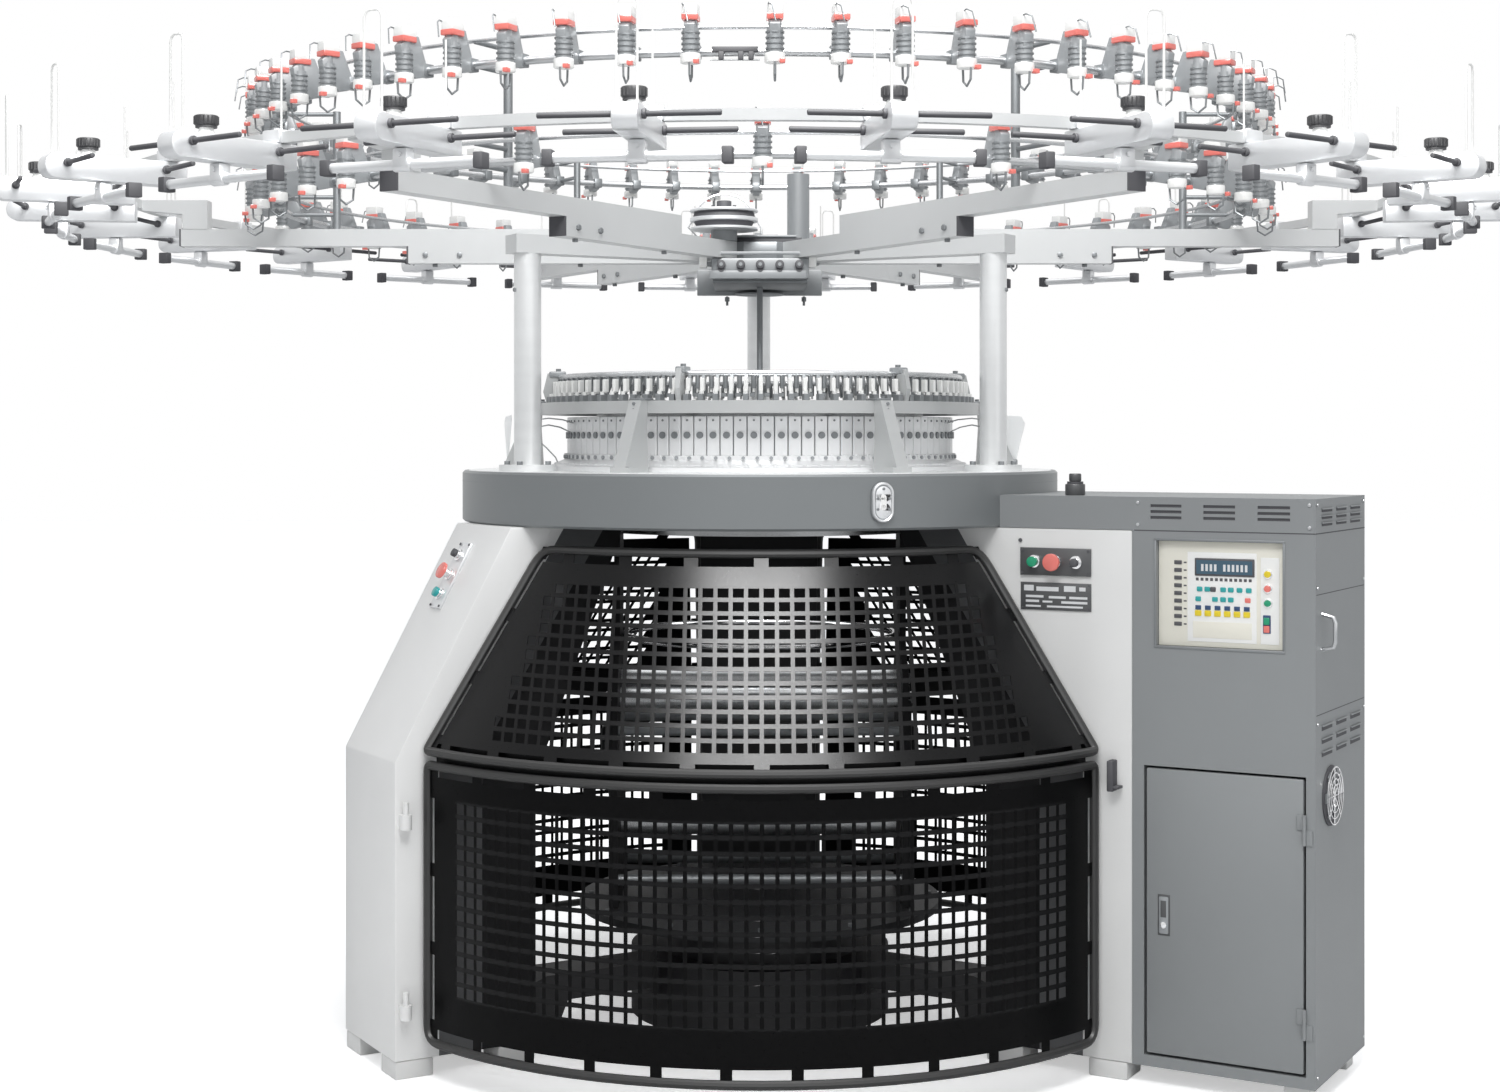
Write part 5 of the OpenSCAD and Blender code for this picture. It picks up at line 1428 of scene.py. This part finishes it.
@dataclass
class Cabinet:
    """Dress of the control cabinet, in the right leg's own directions.

    Attributes:
        u: Inner and outer face.
        n: Front and back face.
        top: Roof of the box above the body.
        panel: Recess of the control panel: low and high corner.
        door_u: Sides of the door.
        door_z: Heights of its edges.
        leaf_z: Heights of the hinge leaves.
        groups: How many groups of slots there are in a row.
        fan_down: How far the fan's axis lies under the roof of the body.
    """

    u: Flat = (970.0, 1350.0)
    n: Flat = (-150.0, 225.0)
    top: float = 1207.0
    panel: tuple[Flat, Flat] = ((1022.0, 903.0), (1284.0, 1118.0))
    door_u: Flat = (1000.0, 1326.0)
    door_z: Flat = (66.0, 651.0)
    leaf_z: Flat = (166.3, 551.3)
    groups: int = 3
    fan_down: float = 531.0

    def vents(self) -> None:
        """Black boxes inside the slots in the front of the top box: painted shade in the slots."""
        form = Form()
        front = self.n[0]
        for group in range(self.groups):
            u0 = self.u[1] - 117 - group * 112
            for k in range(3):
                z = BODY_TOP + 24 + k * 12
                form.box((u0, front + 2.4, z), (u0 + 66, front + 3.9, z + 6), slot=0)
        form.turn(form.bm.verts, LEG_RIGHT)
        form.piece("vent_slot_shade", [Paint.BLACK_PLASTIC])

    def louvres(self) -> None:
        """Pressed louvres on the end face, three by three below and above."""
        form = Form()
        u = self.u[1]
        rows = [(692 + 26 * k, 8) for k in range(3)] + [(BODY_TOP + 14 + 14 * k, 5) for k in range(3)]
        for group in range(self.groups):
            n0 = self.n[0] + 44 + group * 108
            for z, high in rows:
                # Black strip under each hood: painted shade of the louvre's opening.
                form.box((u - 0.4, n0, z), (u + 0.5, n0 + 76, z + high), slot=0)
                form.box((u - 0.4, n0 - 2, z + high), (u + 4.5, n0 + 78, z + high + 3), bevel=1.2, slot=1)
        form.turn(form.bm.verts, LEG_RIGHT)
        form.piece("side_louvres", [Paint.BLACK_PLASTIC, Paint.CABINET])

    def seams(self) -> None:
        """Dark seams between the sheets, corner screws and the side handle."""
        form = Form()
        u0, u1 = self.u
        n0, n1 = self.n
        for z in (1016.0, 777.0):
            form.box((u1 - 0.3, n0 + 6, z), (u1 + 0.25, n1 - 6, z + 1.6), slot=0)
        form.box((u0 + 4, n0 - 0.25, BODY_TOP - 1.2), (u1, n0 + 0.3, BODY_TOP + 1.2), slot=0)
        form.box((u1 - 0.3, n0, BODY_TOP - 1.2), (u1 + 0.25, n1, BODY_TOP + 1.2), slot=0)
        edge, screw, head = 12, 7, 2.4
        for u in (u0 + edge, u1 - edge):
            for z in (BODY_TOP + edge, self.top - edge):
                form.rod((u, n0 - head, z), (u, n0, z), screw, sides=10, slot=1, bevel=0.6)
        for n in (n0 + edge, n1 - edge):
            for z in (60.0, 760.0, 1030.0, self.top - edge):
                form.rod((u1, n, z), (u1 + head, n, z), screw, sides=10, slot=1, bevel=0.6)
        arch = [(-1, 905), (22, 911), (26, 922), (26, 960), (22, 971), (-1, 977)]
        form.wire([(u1 + out, n0 + 48, z) for out, z in arch], 9, sides=10, slot=1)
        form.turn(form.bm.verts, LEG_RIGHT)
        form.piece("cabinet_trim", [Paint.BLACK_PLASTIC, Paint.STEEL])

    def control(self) -> None:
        """The panel's face: display, keys, lamps, rocker and a bare label field."""
        form = Form()
        face, black, glass, teal, red, yellow, blue, white, green, collar, digit = range(11)
        (u0, z0), (u1, z1) = self.panel
        n = self.n[0] + 12

        def patch(left: float, down: float, size: Flat, out: Flat, slot: int, bevel: float = 0.0) -> None:
            """Adds a flat block, placed from the panel's upper left corner.

            Args:
                left: Distance from the left edge.
                down: Distance from the upper edge.
                size: Width and height.
                out: How far it reaches before and behind the panel's face.
                slot: Material slot.
                bevel: Radius of its edges.
            """
            wide, high = size
            form.box((u0 + left, n - out[0], z1 - down - high), (u0 + left + wide, n + out[1], z1 - down),
                     bevel=bevel, slot=slot)

        form.box((u0 + 0.5, n, z0 + 0.5), (u1 - 0.5, n + 9.5, z1 - 0.5), bevel=1.5, slot=face)
        patch(62, 22, (144, 182), (1.5, 1), white, 1)
        patch(214, 30, (38, 174), (1.5, 1), white, 1)
        patch(78, 34, (124, 36), (4, 0), black, 1.5)
        patch(82, 38, (116, 28), (4.4, -3.4), glass)
        for left, count in ((92, 4), (138, 6)):
            for k in range(count):
                patch(left + 9 * k, 46, (5, 14), (4.8, -4.2), digit)
        for row in range(9):
            down = 44 + row * 15.7
            patch(34, down - 4, (16, 8), (2, 0.5), black, 0.8)
            patch(54, down - 1.5, (6, 3), (0.5, 0.5), black)
        for k in range(12):
            patch(80 + 10 * k, 74, (6, 6), (2, -1), black)
        upper = ((88, teal), (104, teal), (116, black), (137, teal), (153, teal), (171, teal), (190, teal))
        lower = ((85, teal), (120, teal), (137, teal), (153, teal), (188, red))
        for down, row in ((97, upper), (117, lower)):
            for left, slot in row:
                patch(left - 6, down - 5, (12, 10), (4, 0), slot, 2)
        for k in range(6):
            left = 85 + 20.2 * k
            patch(left - 6, 130, (12, 9), (3, 0), blue, 0.8)
            patch(left - 7, 140, (14, 12), (4.5, 0), yellow, 2)
        for k, slot in enumerate((yellow, red, green)):
            u, z = u0 + 229, z1 - 63 - k * 29
            form.rod((u, n + 1, z), (u, n - 3, z), 19, sides=20, slot=collar, bevel=1)
            form.rod((u, n, z), (u, n - 8, z), 14, sides=20, slot=slot, bevel=2)
        patch(219, 145, (16, 37), (3, 1), blue, 1.5)
        for down, slot in ((150, green), (166, red)):
            patch(221, down, (12, 14), (6, -2), slot, 1.5)
        patch(74, 163, (122, 33), (2.4, -1), face, 0.4)
        finishes = [Paint.OFF_WHITE, Paint.BLACK_PLASTIC, Paint.DISPLAY, Paint.TEAL, Paint.RED, Paint.YELLOW,
                    Paint.DISPLAY_KEY, Paint.WHITE_PLASTIC, Paint.GREEN, Paint.CHROME, Paint.ALUMINIUM]
        form.turn(form.bm.verts, LEG_RIGHT)
        form.piece("panel_face", finishes, replaces=["control_panel"], slot="off_white")
        self.panel_recess_shade()

    def panel_recess_shade(self) -> None:
        """Dark rim around the recess of the control panel: painted shade at the recess's edges."""
        rim = Form()
        (u0, z0), (u1, z1) = self.panel
        n, wide = self.n[0], 5
        level = [(u0 - wide, z0 - wide, u1 + wide, z0), (u0 - wide, z1, u1 + wide, z1 + wide)]
        upright = [(u0 - wide, z0, u0, z1), (u1, z0, u1 + wide, z1)]
        for left, low, right, high in (*level, *upright):
            rim.box((left, n - 1.5, low), (right, n + 0.2, high), bevel=0.5)
        rim.turn(rim.bm.verts, LEG_RIGHT)
        rim.piece("panel_recess_shade", [Paint.DARK_STEEL])

    def door(self) -> None:
        """Door with soft edges, its flush lock and hinge leaves."""
        form = Form()
        (u0, u1), (z0, z1) = self.door_u, self.door_z
        n = self.n[0]
        form.box((u0, n, z0), (u1, n + 18, z1), bevel=3.5, slot=0)
        u, z = u0 + 38, 352.0
        form.box((u - 13, n - 1.5, z - 42), (u + 13, n + 2, z + 42), bevel=1, slot=2)
        form.box((u - 10, n - 4, z - 38), (u + 10, n + 1, z + 38), bevel=3, slot=1)
        form.rod((u, n - 2, z - 20), (u, n - 6, z - 20), 14, sides=20, slot=3, bevel=1)
        form.box((u - 6, n - 4.6, z - 4), (u + 6, n - 3.4, z + 30), bevel=0.5, slot=2)
        pin, high = u1 + 2.5, 30
        for z in self.leaf_z:
            form.rod((pin, n - 5, z), (pin, n - 5, z + high), 8, sides=16, slot=0)
            form.box((pin - 16, n - 3, z), (pin, n, z + high), bevel=0.8, slot=0)
        form.turn(form.bm.verts, LEG_RIGHT)
        form.piece("door_leaf", [Paint.CABINET, Paint.MID_GRAY, Paint.PLATE, Paint.CHROME],
                   body="cabinet_door", replaces=["cabinet_door"], slot="mid_gray")

    def fan(self) -> None:
        """Axial fan with frame, blades and wire guard."""
        form = Form()
        u, n, z = self.u[1], self.n[0] + 108, BODY_TOP - self.fan_down
        guard_wire = 2.6
        form.rod((u, n, z), (u + 3, n, z), 122, sides=40, slot=0, bevel=1)
        for r in (58, 46, 34, 22):
            ring = [(u + 10, n + y, z + up) for y, up in (polar(r, a) for a in range(0, 375, 15))]
            form.wire(ring, guard_wire, sides=6, slot=1)
        for a in range(0, 180, 45):
            y, up = polar(59, a)
            form.wire([(u + 8.5, n - y, z - up), (u + 8.5, n + y, z + up)], guard_wire, sides=6, slot=1)
        form.rod((u + 3, n, z), (u + 7, n, z), 40, sides=24, slot=0, bevel=1)
        for a in range(0, 360, 60):
            blade = form.box((u + 3, n + 16, z - 10), (u + 6, n + 52, z + 10), bevel=1, slot=2)
            bmesh.ops.rotate(form.bm, cent=(u, n, z), matrix=spin_about(a, "X"), verts=blade)
        form.turn(form.bm.verts, LEG_RIGHT)
        form.piece("fan_guard", [Paint.BLACK_PLASTIC, Paint.CHROME, Paint.DARK_STEEL], replaces=["side_fan"],
                   slot="black_plastic")

    def lamp(self) -> None:
        """Stepped socket on the top box."""
        form = Form()
        u, n, z = 825.0, self.n[0] + 50, self.top
        form.rod((u, n, z), (u, n, z + 24), 42, sides=32, bevel=2)
        form.rod((u, n, z + 24), (u, n, z + 29), 34, sides=32, slot=1)
        form.rod((u, n, z + 29), (u, n, z + 45.9), 26, sides=24, bevel=2.5)
        form.turn(form.bm.verts, LEG_RIGHT)
        form.piece("socket", [Paint.PLATE, Paint.BLACK_PLASTIC], replaces=["top_lamp"], slot="black_plastic")

    def build(self) -> None:
        """Builds the cabinet's dress."""
        self.lamp()
        self.vents()
        self.louvres()
        self.seams()
        self.control()
        self.door()
        self.fan()


@dataclass
class Hub:
    """Hub over the head: casting, pulleys, bolts and the thin wire over them.

    Attributes:
        place: Centre of the pulleys.
        pulley_d: Their diameter.
        upper_z: Height of the hub's top.
        half: Half of the casting's width.
        front: Its front face.
        rear: Front side of its rear plate.
        strip_y: Inner side of the strip that closes the gap in the upper feeder ring.
        strip_z: Height of the strip's underside.
    """

    place: Flat = (-82.0, -150.0)
    pulley_d: float = 155.0
    upper_z: float = 1775.0
    half: float = 110.0
    front: float = -190.0
    rear: float = 139.0
    strip_y: float = -1109.0
    strip_z: float = 2036.0

    def pulleys(self) -> None:
        """Three discs with dark belt grooves between them, and the nut on top."""
        x, y = self.place
        z0 = self.upper_z + 24.3
        r, bore = self.pulley_d / 2, 8.0
        form = Form(25.0)
        for low, high in ((0.0, 6.0), (19.0, 28.0), (41.0, 47.0)):
            low, high = z0 + low, z0 + high
            form.lathe([(bore, low), (r - 1.5, low), (r, low + 1.5), (r, high - 1.5), (r - 1.5, high),
                        (bore, high)], steps=48)
        for low, foot, head in ((5.0, 16.0, 9.0), (27.0, 6.0, 10.0)):
            low = z0 + low
            form.lathe([(bore, low), (r - foot, low), (r - head, low + 15), (bore, low + 15)], steps=48,
                       slot=1)
        form.rod((0, 0, z0 + 46), (0, 0, z0 + 51), 70, sides=32, slot=0, bevel=1)
        form.rod((0, 0, z0 + 50), (0, 0, z0 + 67), 34, sides=18, slot=1, bevel=2)
        for a in range(0, 360, 60):
            bolt = polar(48, a)
            form.rod((*bolt, z0 + 50), (*bolt, z0 + 53), 9, sides=6, slot=1)
        form.shift(form.bm.verts, (x, y, 0))
        form.piece("pulley_discs", [Paint.ALUMINIUM, Paint.BLACK_PLASTIC], body="pulley_stack",
                   replaces=["quality_pulleys"], slot="silver")

    def bow(self) -> None:
        """Thin steel bow over the pulleys."""
        form = Form()
        x, y = self.place
        y += 96
        foot, knee, middle = self.upper_z + 1, self.upper_z + 40, self.upper_z + 62
        around = [polar(1.0, a) for a in range(12, 180, 12)]
        arch = [(x + 66 * out, y, middle + 56 * up) for out, up in around]
        path = [(x + 88, y, foot), (x + 84, y, knee), *arch, (x - 84, y, knee), (x - 40, y + 84, foot)]
        form.wire(path, 4, sides=6)
        form.piece("pulley_bow", [Paint.STEEL])

    def bolts(self) -> None:
        """Plates, screws and hanging bolts of the hub."""
        form = Form()
        top, front = self.upper_z, self.front
        for x in (-88, -44, 0, 44, 88):
            form.rod((x, front, top - 56), (x, front - 12, top - 56), 20, sides=14, bevel=1.5, slot=0)
            form.rod((x, front - 11, top - 56), (x, front - 12.6, top - 56), 9, sides=6, slot=1)
            form.rod((x, front, top - 66), (x, front - 7, top - 66), 15, sides=10, slot=0)
        form.box((-112, front - 5, top - 34), (112, front + 2, top - 27), bevel=1.5, slot=2)
        form.box((-114, front - 6, top - 88), (104, front + 2, top - 70), bevel=1.5, slot=2)
        for x in (-129, 118):
            form.box((x - 9, front + 4, top - 62), (x + 9, front + 40, top - 30), bevel=3, slot=3)
        form.box((-96, -107.5, top - 2), (96, -106, top + 12), slot=0)
        form.box((-84, -112, top + 13), (84, -92, top + 17.5), bevel=1, slot=2)
        form.rod((0, 148, top - 104), (0, 148, top - 100), 120, sides=40, slot=2, bevel=1)
        for x in (-78, 107):
            form.rod((x, 158, top - 128), (x, 158, top - 106), 6, sides=8, slot=1)
            form.rod((x, 158, top - 118), (x, 158, top - 108), 13, sides=6, slot=1)
            form.rod((x, 151, top - 72), (x, 158, top - 72), 12, sides=6, slot=0)
        form.piece("hub_bolts", [Paint.BLACK_PLASTIC, Paint.DARK_STEEL, Paint.MID_GRAY, Paint.WHITE_PLASTIC])

    def joints(self) -> None:
        """Bolts on the joints of the beams."""
        form = Form()
        side, under = self.upper_z - 20, self.upper_z - 40
        for r in (700, 780):
            for s in (-1, 1):
                form.rod((r, s * 20, side), (r, s * 26, side), 13, sides=6, bevel=0.8)
        for r in (420, 760):
            form.rod((r, 0, under), (r, 0, under - 7), 13, sides=6, bevel=0.8)
        form.around(6).piece("beam_bolts", [Paint.DARK_STEEL])

    def casting(self) -> None:
        """Builds the hub's casting: deck, front block, rear plate, gusset and low centre post."""
        form = Form(25.0)
        top, half, rear = self.upper_z, self.half, self.rear
        under = top - 41
        deck = form.rod((0, 0, under), (0, 0, top), 290, sides=12, bevel=2, slot=1)
        form.turn(deck, 15.0)
        form.box((-half, self.front, top - 87), (half, rear - 1, under), bevel=4)
        form.box((-150, rear, top - 105), (150, rear + 12, under - 2), bevel=2)
        form.box((-45, -45, top - 2), (45, 45, top + 25), bevel=4)
        # Dark plate under the front block: painted shade of the recess beneath it.
        form.box((2 - half, -150, top - 95), (half - 2, rear, top - 87), bevel=2, slot=1)
        outline = [(-100, top - 5), (100, top - 5), (80, top + 17), (-80, top + 17)]
        gusset = form.prism(outline, 12, bevel=1, slot=1)
        form.shift(gusset, (0, -100, 0))
        form.piece("hub_casting", [Paint.MID_GRAY, Paint.DARK_STEEL], replaces=["creel_hub"], slot="mid_gray")

    def front_strip(self) -> None:
        """Black strip with clamps that closes the front gap of the upper feeder ring."""
        form = Form()
        y, z = self.strip_y, self.strip_z
        low = z - 14
        form.box((-93, y - 10, z), (-8, y, z + 10), bevel=1.5, slot=0)
        for x in (-76, -40, -21):
            form.box((x - 5, y - 11, low), (x + 5, y + 1, z + 1), bevel=1.5, slot=0)
        form.rod((-96, y - 5, low), (-5, y - 5, low), 3, sides=6, slot=1)
        form.piece("ring_strip", [Paint.BLACK_PLASTIC, Paint.STEEL])

    def build(self) -> None:
        """Builds the hub's dress."""
        self.pulleys()
        self.bow()
        self.bolts()
        self.joints()
        self.casting()
        self.front_strip()


@dataclass
class BedDress:
    """Screws, seam, turned face and crank cover on the bed and the columns.

    Attributes:
        bed_r: Radius of the bed.
        column_r: Radius at which the columns stand.
        flange_high: Thickness of a column's flange.
        face_r: Inner radius of the bed's turned face.
        cover_at: Azimuth of the crank cover.
        cover_down: How far the cover's middle lies under the bed's top.
    """

    bed_r: float = 690.0
    column_r: float = 593.0
    flange_high: float = 15.0
    face_r: float = 470.0
    cover_at: float = 291.0
    cover_down: float = 58.0

    def screws(self) -> None:
        """Flange screws and the clamp screw of each column."""
        form = Form()
        r, z = self.column_r, BED_TOP + self.flange_high
        for a in range(45, 360, 90):
            out, side = polar(48, a)
            form.rod((r + out, side, z - 1), (r + out, side, z + 8), 13, sides=6, bevel=1)
        z = BED_TOP + 400
        form.rod((r + 29, 0, z), (r + 34, 0, z), 9, sides=6)
        form.around(3, LEG_REAR).piece("flange_screws", [Paint.DARK_STEEL])

    def faces(self) -> None:
        """Dark seam around the rim and the bright turned face on top."""
        rim = Form(20.0)
        r, z = self.bed_r, BED_TOP - 24.0
        rim.lathe([(r - 0.4, z), (r + 0.25, z), (r + 0.25, z + 1.2), (r - 0.4, z + 1.2)], steps=128)
        rim.piece("rim_line", [Paint.DARK_STEEL])
        top = Form()
        z = BED_TOP
        top.lathe([(self.face_r, z), (r - 14, z), (r - 15, z + 0.8), (self.face_r, z + 0.8)])
        top.piece("bed_face", [Paint.COLUMN])

    def crank_cover(self) -> None:
        """Builds the oval cover of the hand crank, with its rim, slot and screws."""
        form = Form()
        r, z = self.bed_r + 0.4, BED_TOP - self.cover_down
        for d, rise, out, slot in ((49, 17.5, 6.0, 0), (34, 16.5, 8.0, 1), (13, 10.0, 9.0, 2)):
            for s in (-1, 1):
                form.rod((r, 0, z + s * rise), (r + out, 0, z + s * rise), d, sides=28, slot=slot, bevel=0.8)
            form.box((r, -d / 2, z - rise), (r + out, d / 2, z + rise), slot=slot)
        path = []
        for i in range(33):
            side, up = polar(21.0, 11.25 * i)
            lift = 17.5 if i % 32 <= 16 else -17.5
            path.append((r + 6.5, side, z + lift + up))
        form.wire(path, 6.0, sides=8, slot=3)
        for y, dz in ((-13, 8), (13, 8), (-13, -14), (13, -14), (0, 28)):
            form.rod((r + 7, y, z + dz), (r + 10, y, z + dz), 6, sides=8, slot=4)
        form.turn(form.bm.verts, self.cover_at)
        form.piece("crank_cover", [Paint.MID_GRAY, Paint.ALUMINIUM, Paint.WHITE_PLASTIC, Paint.SILVER,
                                   Paint.DARK_STEEL], replaces=["bed_crank_cover"], slot="chrome")

    def build(self) -> None:
        """Builds the bed's dress."""
        self.screws()
        self.faces()
        self.crank_cover()


@dataclass
class TakeDown:
    """Detail of the turning take-down gear that shows through the mesh.

    Attributes:
        frame_x: Distance of the side plates from the axis.
        turn_top: Height of the turntable's top.
        nip_z: Height of the upper nip roller.
    """

    frame_x: float = 330.0
    turn_top: float = 260.3
    nip_z: float = 765.3

    def build(self) -> None:
        """Builds gears, bearings, tie bars and the gear box."""
        form = Form()
        x, base, nip = self.frame_x, self.turn_top, self.nip_z
        gears = ((0, nip, 78), (-56, nip - 40, 62), (56, nip - 40, 62), (0, base + 170, 90))
        for s in (-1, 1):
            face = s * (x + 7)
            for y, z, d in gears:
                form.rod((face, y, z), (face + s * 9, y, z), d, sides=24, slot=0, bevel=1.5)
                form.rod((face + s * 9, y, z), (face + s * 15, y, z), 24, sides=16, slot=1, bevel=1)
            low, high = sorted((face, face + s * 30))
            form.box((low, -60, base + 260), (high, 60, base + 400), bevel=6, slot=2)
            low, high = sorted((face, face + s * 8))
            for y in (-130, 130):
                form.box((low, y - 14, base), (high, y + 14, base + 470), bevel=3, slot=2)
        for y in (-135, 135):
            for z, d in ((base + 60, 26), (base + 400, 22)):
                form.rod((7 - x, y, z), (x - 7, y, z), d, sides=16, slot=1)
        for a in range(0, 360, 30):
            bolt = polar(395, a)
            form.rod((*bolt, base - 1), (*bolt, base + 7), 14, sides=6, slot=1)
        # Gears, gear boxes and side plates are painted dark: painted shade for the inside of the guards.
        form.piece("takedown_gear", [Paint.SHADE_BLACK, Paint.DARK_STEEL, Paint.SHADE_STEEL], body="rotor")


# Finish of each frame node that is seen. The others have a piece in their place.
NODE_FINISH: dict[str, Finish] = {
    "base_spider": Paint.BLACK_CAST,
    "main_bed": Paint.BED_GRAY,
    "columns": Paint.COLUMN,
    "gate_hinges": Paint.LEG_LIGHT,
    "cam_base_ring": Paint.CAM_PLATE,
    "yarn_ring": Paint.RING_GRAY,
    "ring_brackets": Paint.RING_GRAY,
    "guide_ring": Paint.STEEL,
    "guide_arms": Paint.RING_GRAY,
    "central_shaft": Paint.DARK_STEEL,
    "pulley_base": Paint.DARK_STEEL,
    "rear_mast": Paint.MID_GRAY,
    "creel_arms_upper": Paint.BEAM_GRAY,
    "creel_arms_lower": Paint.BEAM_GRAY,
    "column_beams": Paint.BEAM_GRAY,
    "beam_caps": Paint.BLACK_PLASTIC,
    "creel_ring": Paint.BEAM_GRAY,
    "ring_blocks": Paint.BEAM_GRAY,
    "ring_posts": Paint.DARK_STEEL,
    "feeder_ring_upper": Paint.STEEL,
    "feeder_ring_lower": Paint.STEEL,
    "top_box": Paint.CABINET,
    "cabinet_body": Paint.CABINET,
    "door_hinges": Paint.CABINET,
    "needle_cylinder": Paint.STEEL,
    # The turntable and the take-down frame get painted shade: dark finishes for the shade inside the guards.
    "turntable": Paint.SHADE_STEEL,
    "takedown_frame": Paint.SHADE_BLACK,
    "takedown_rollers": Paint.STEEL,
    "cloth_roller": Paint.STEEL,
    "cloth_spreader": Paint.CHROME,
}


def dress_nodes(frame: dict) -> None:
    """Gives every frame node its finish.
    """
    for name, node in frame["nodes"].items():
        finish = NODE_FINISH.get(name, Paint.MID_GRAY)
        for held in node.material_slots:
            held.material = finish.material()


def main() -> None:
    """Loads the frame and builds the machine's dress."""
    logging.basicConfig(level=logging.INFO, format="%(message)s")
    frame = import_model()
    Studio().build()
    dress_nodes(frame)
    Guards().build()
    KnittingHead().build()
    Creel().build()
    YarnFeeders().build()
    Legs().build()
    Cabinet().build()
    Hub().build()
    BedDress().build()
    TakeDown().build()


if __name__ == "__main__":
    main()
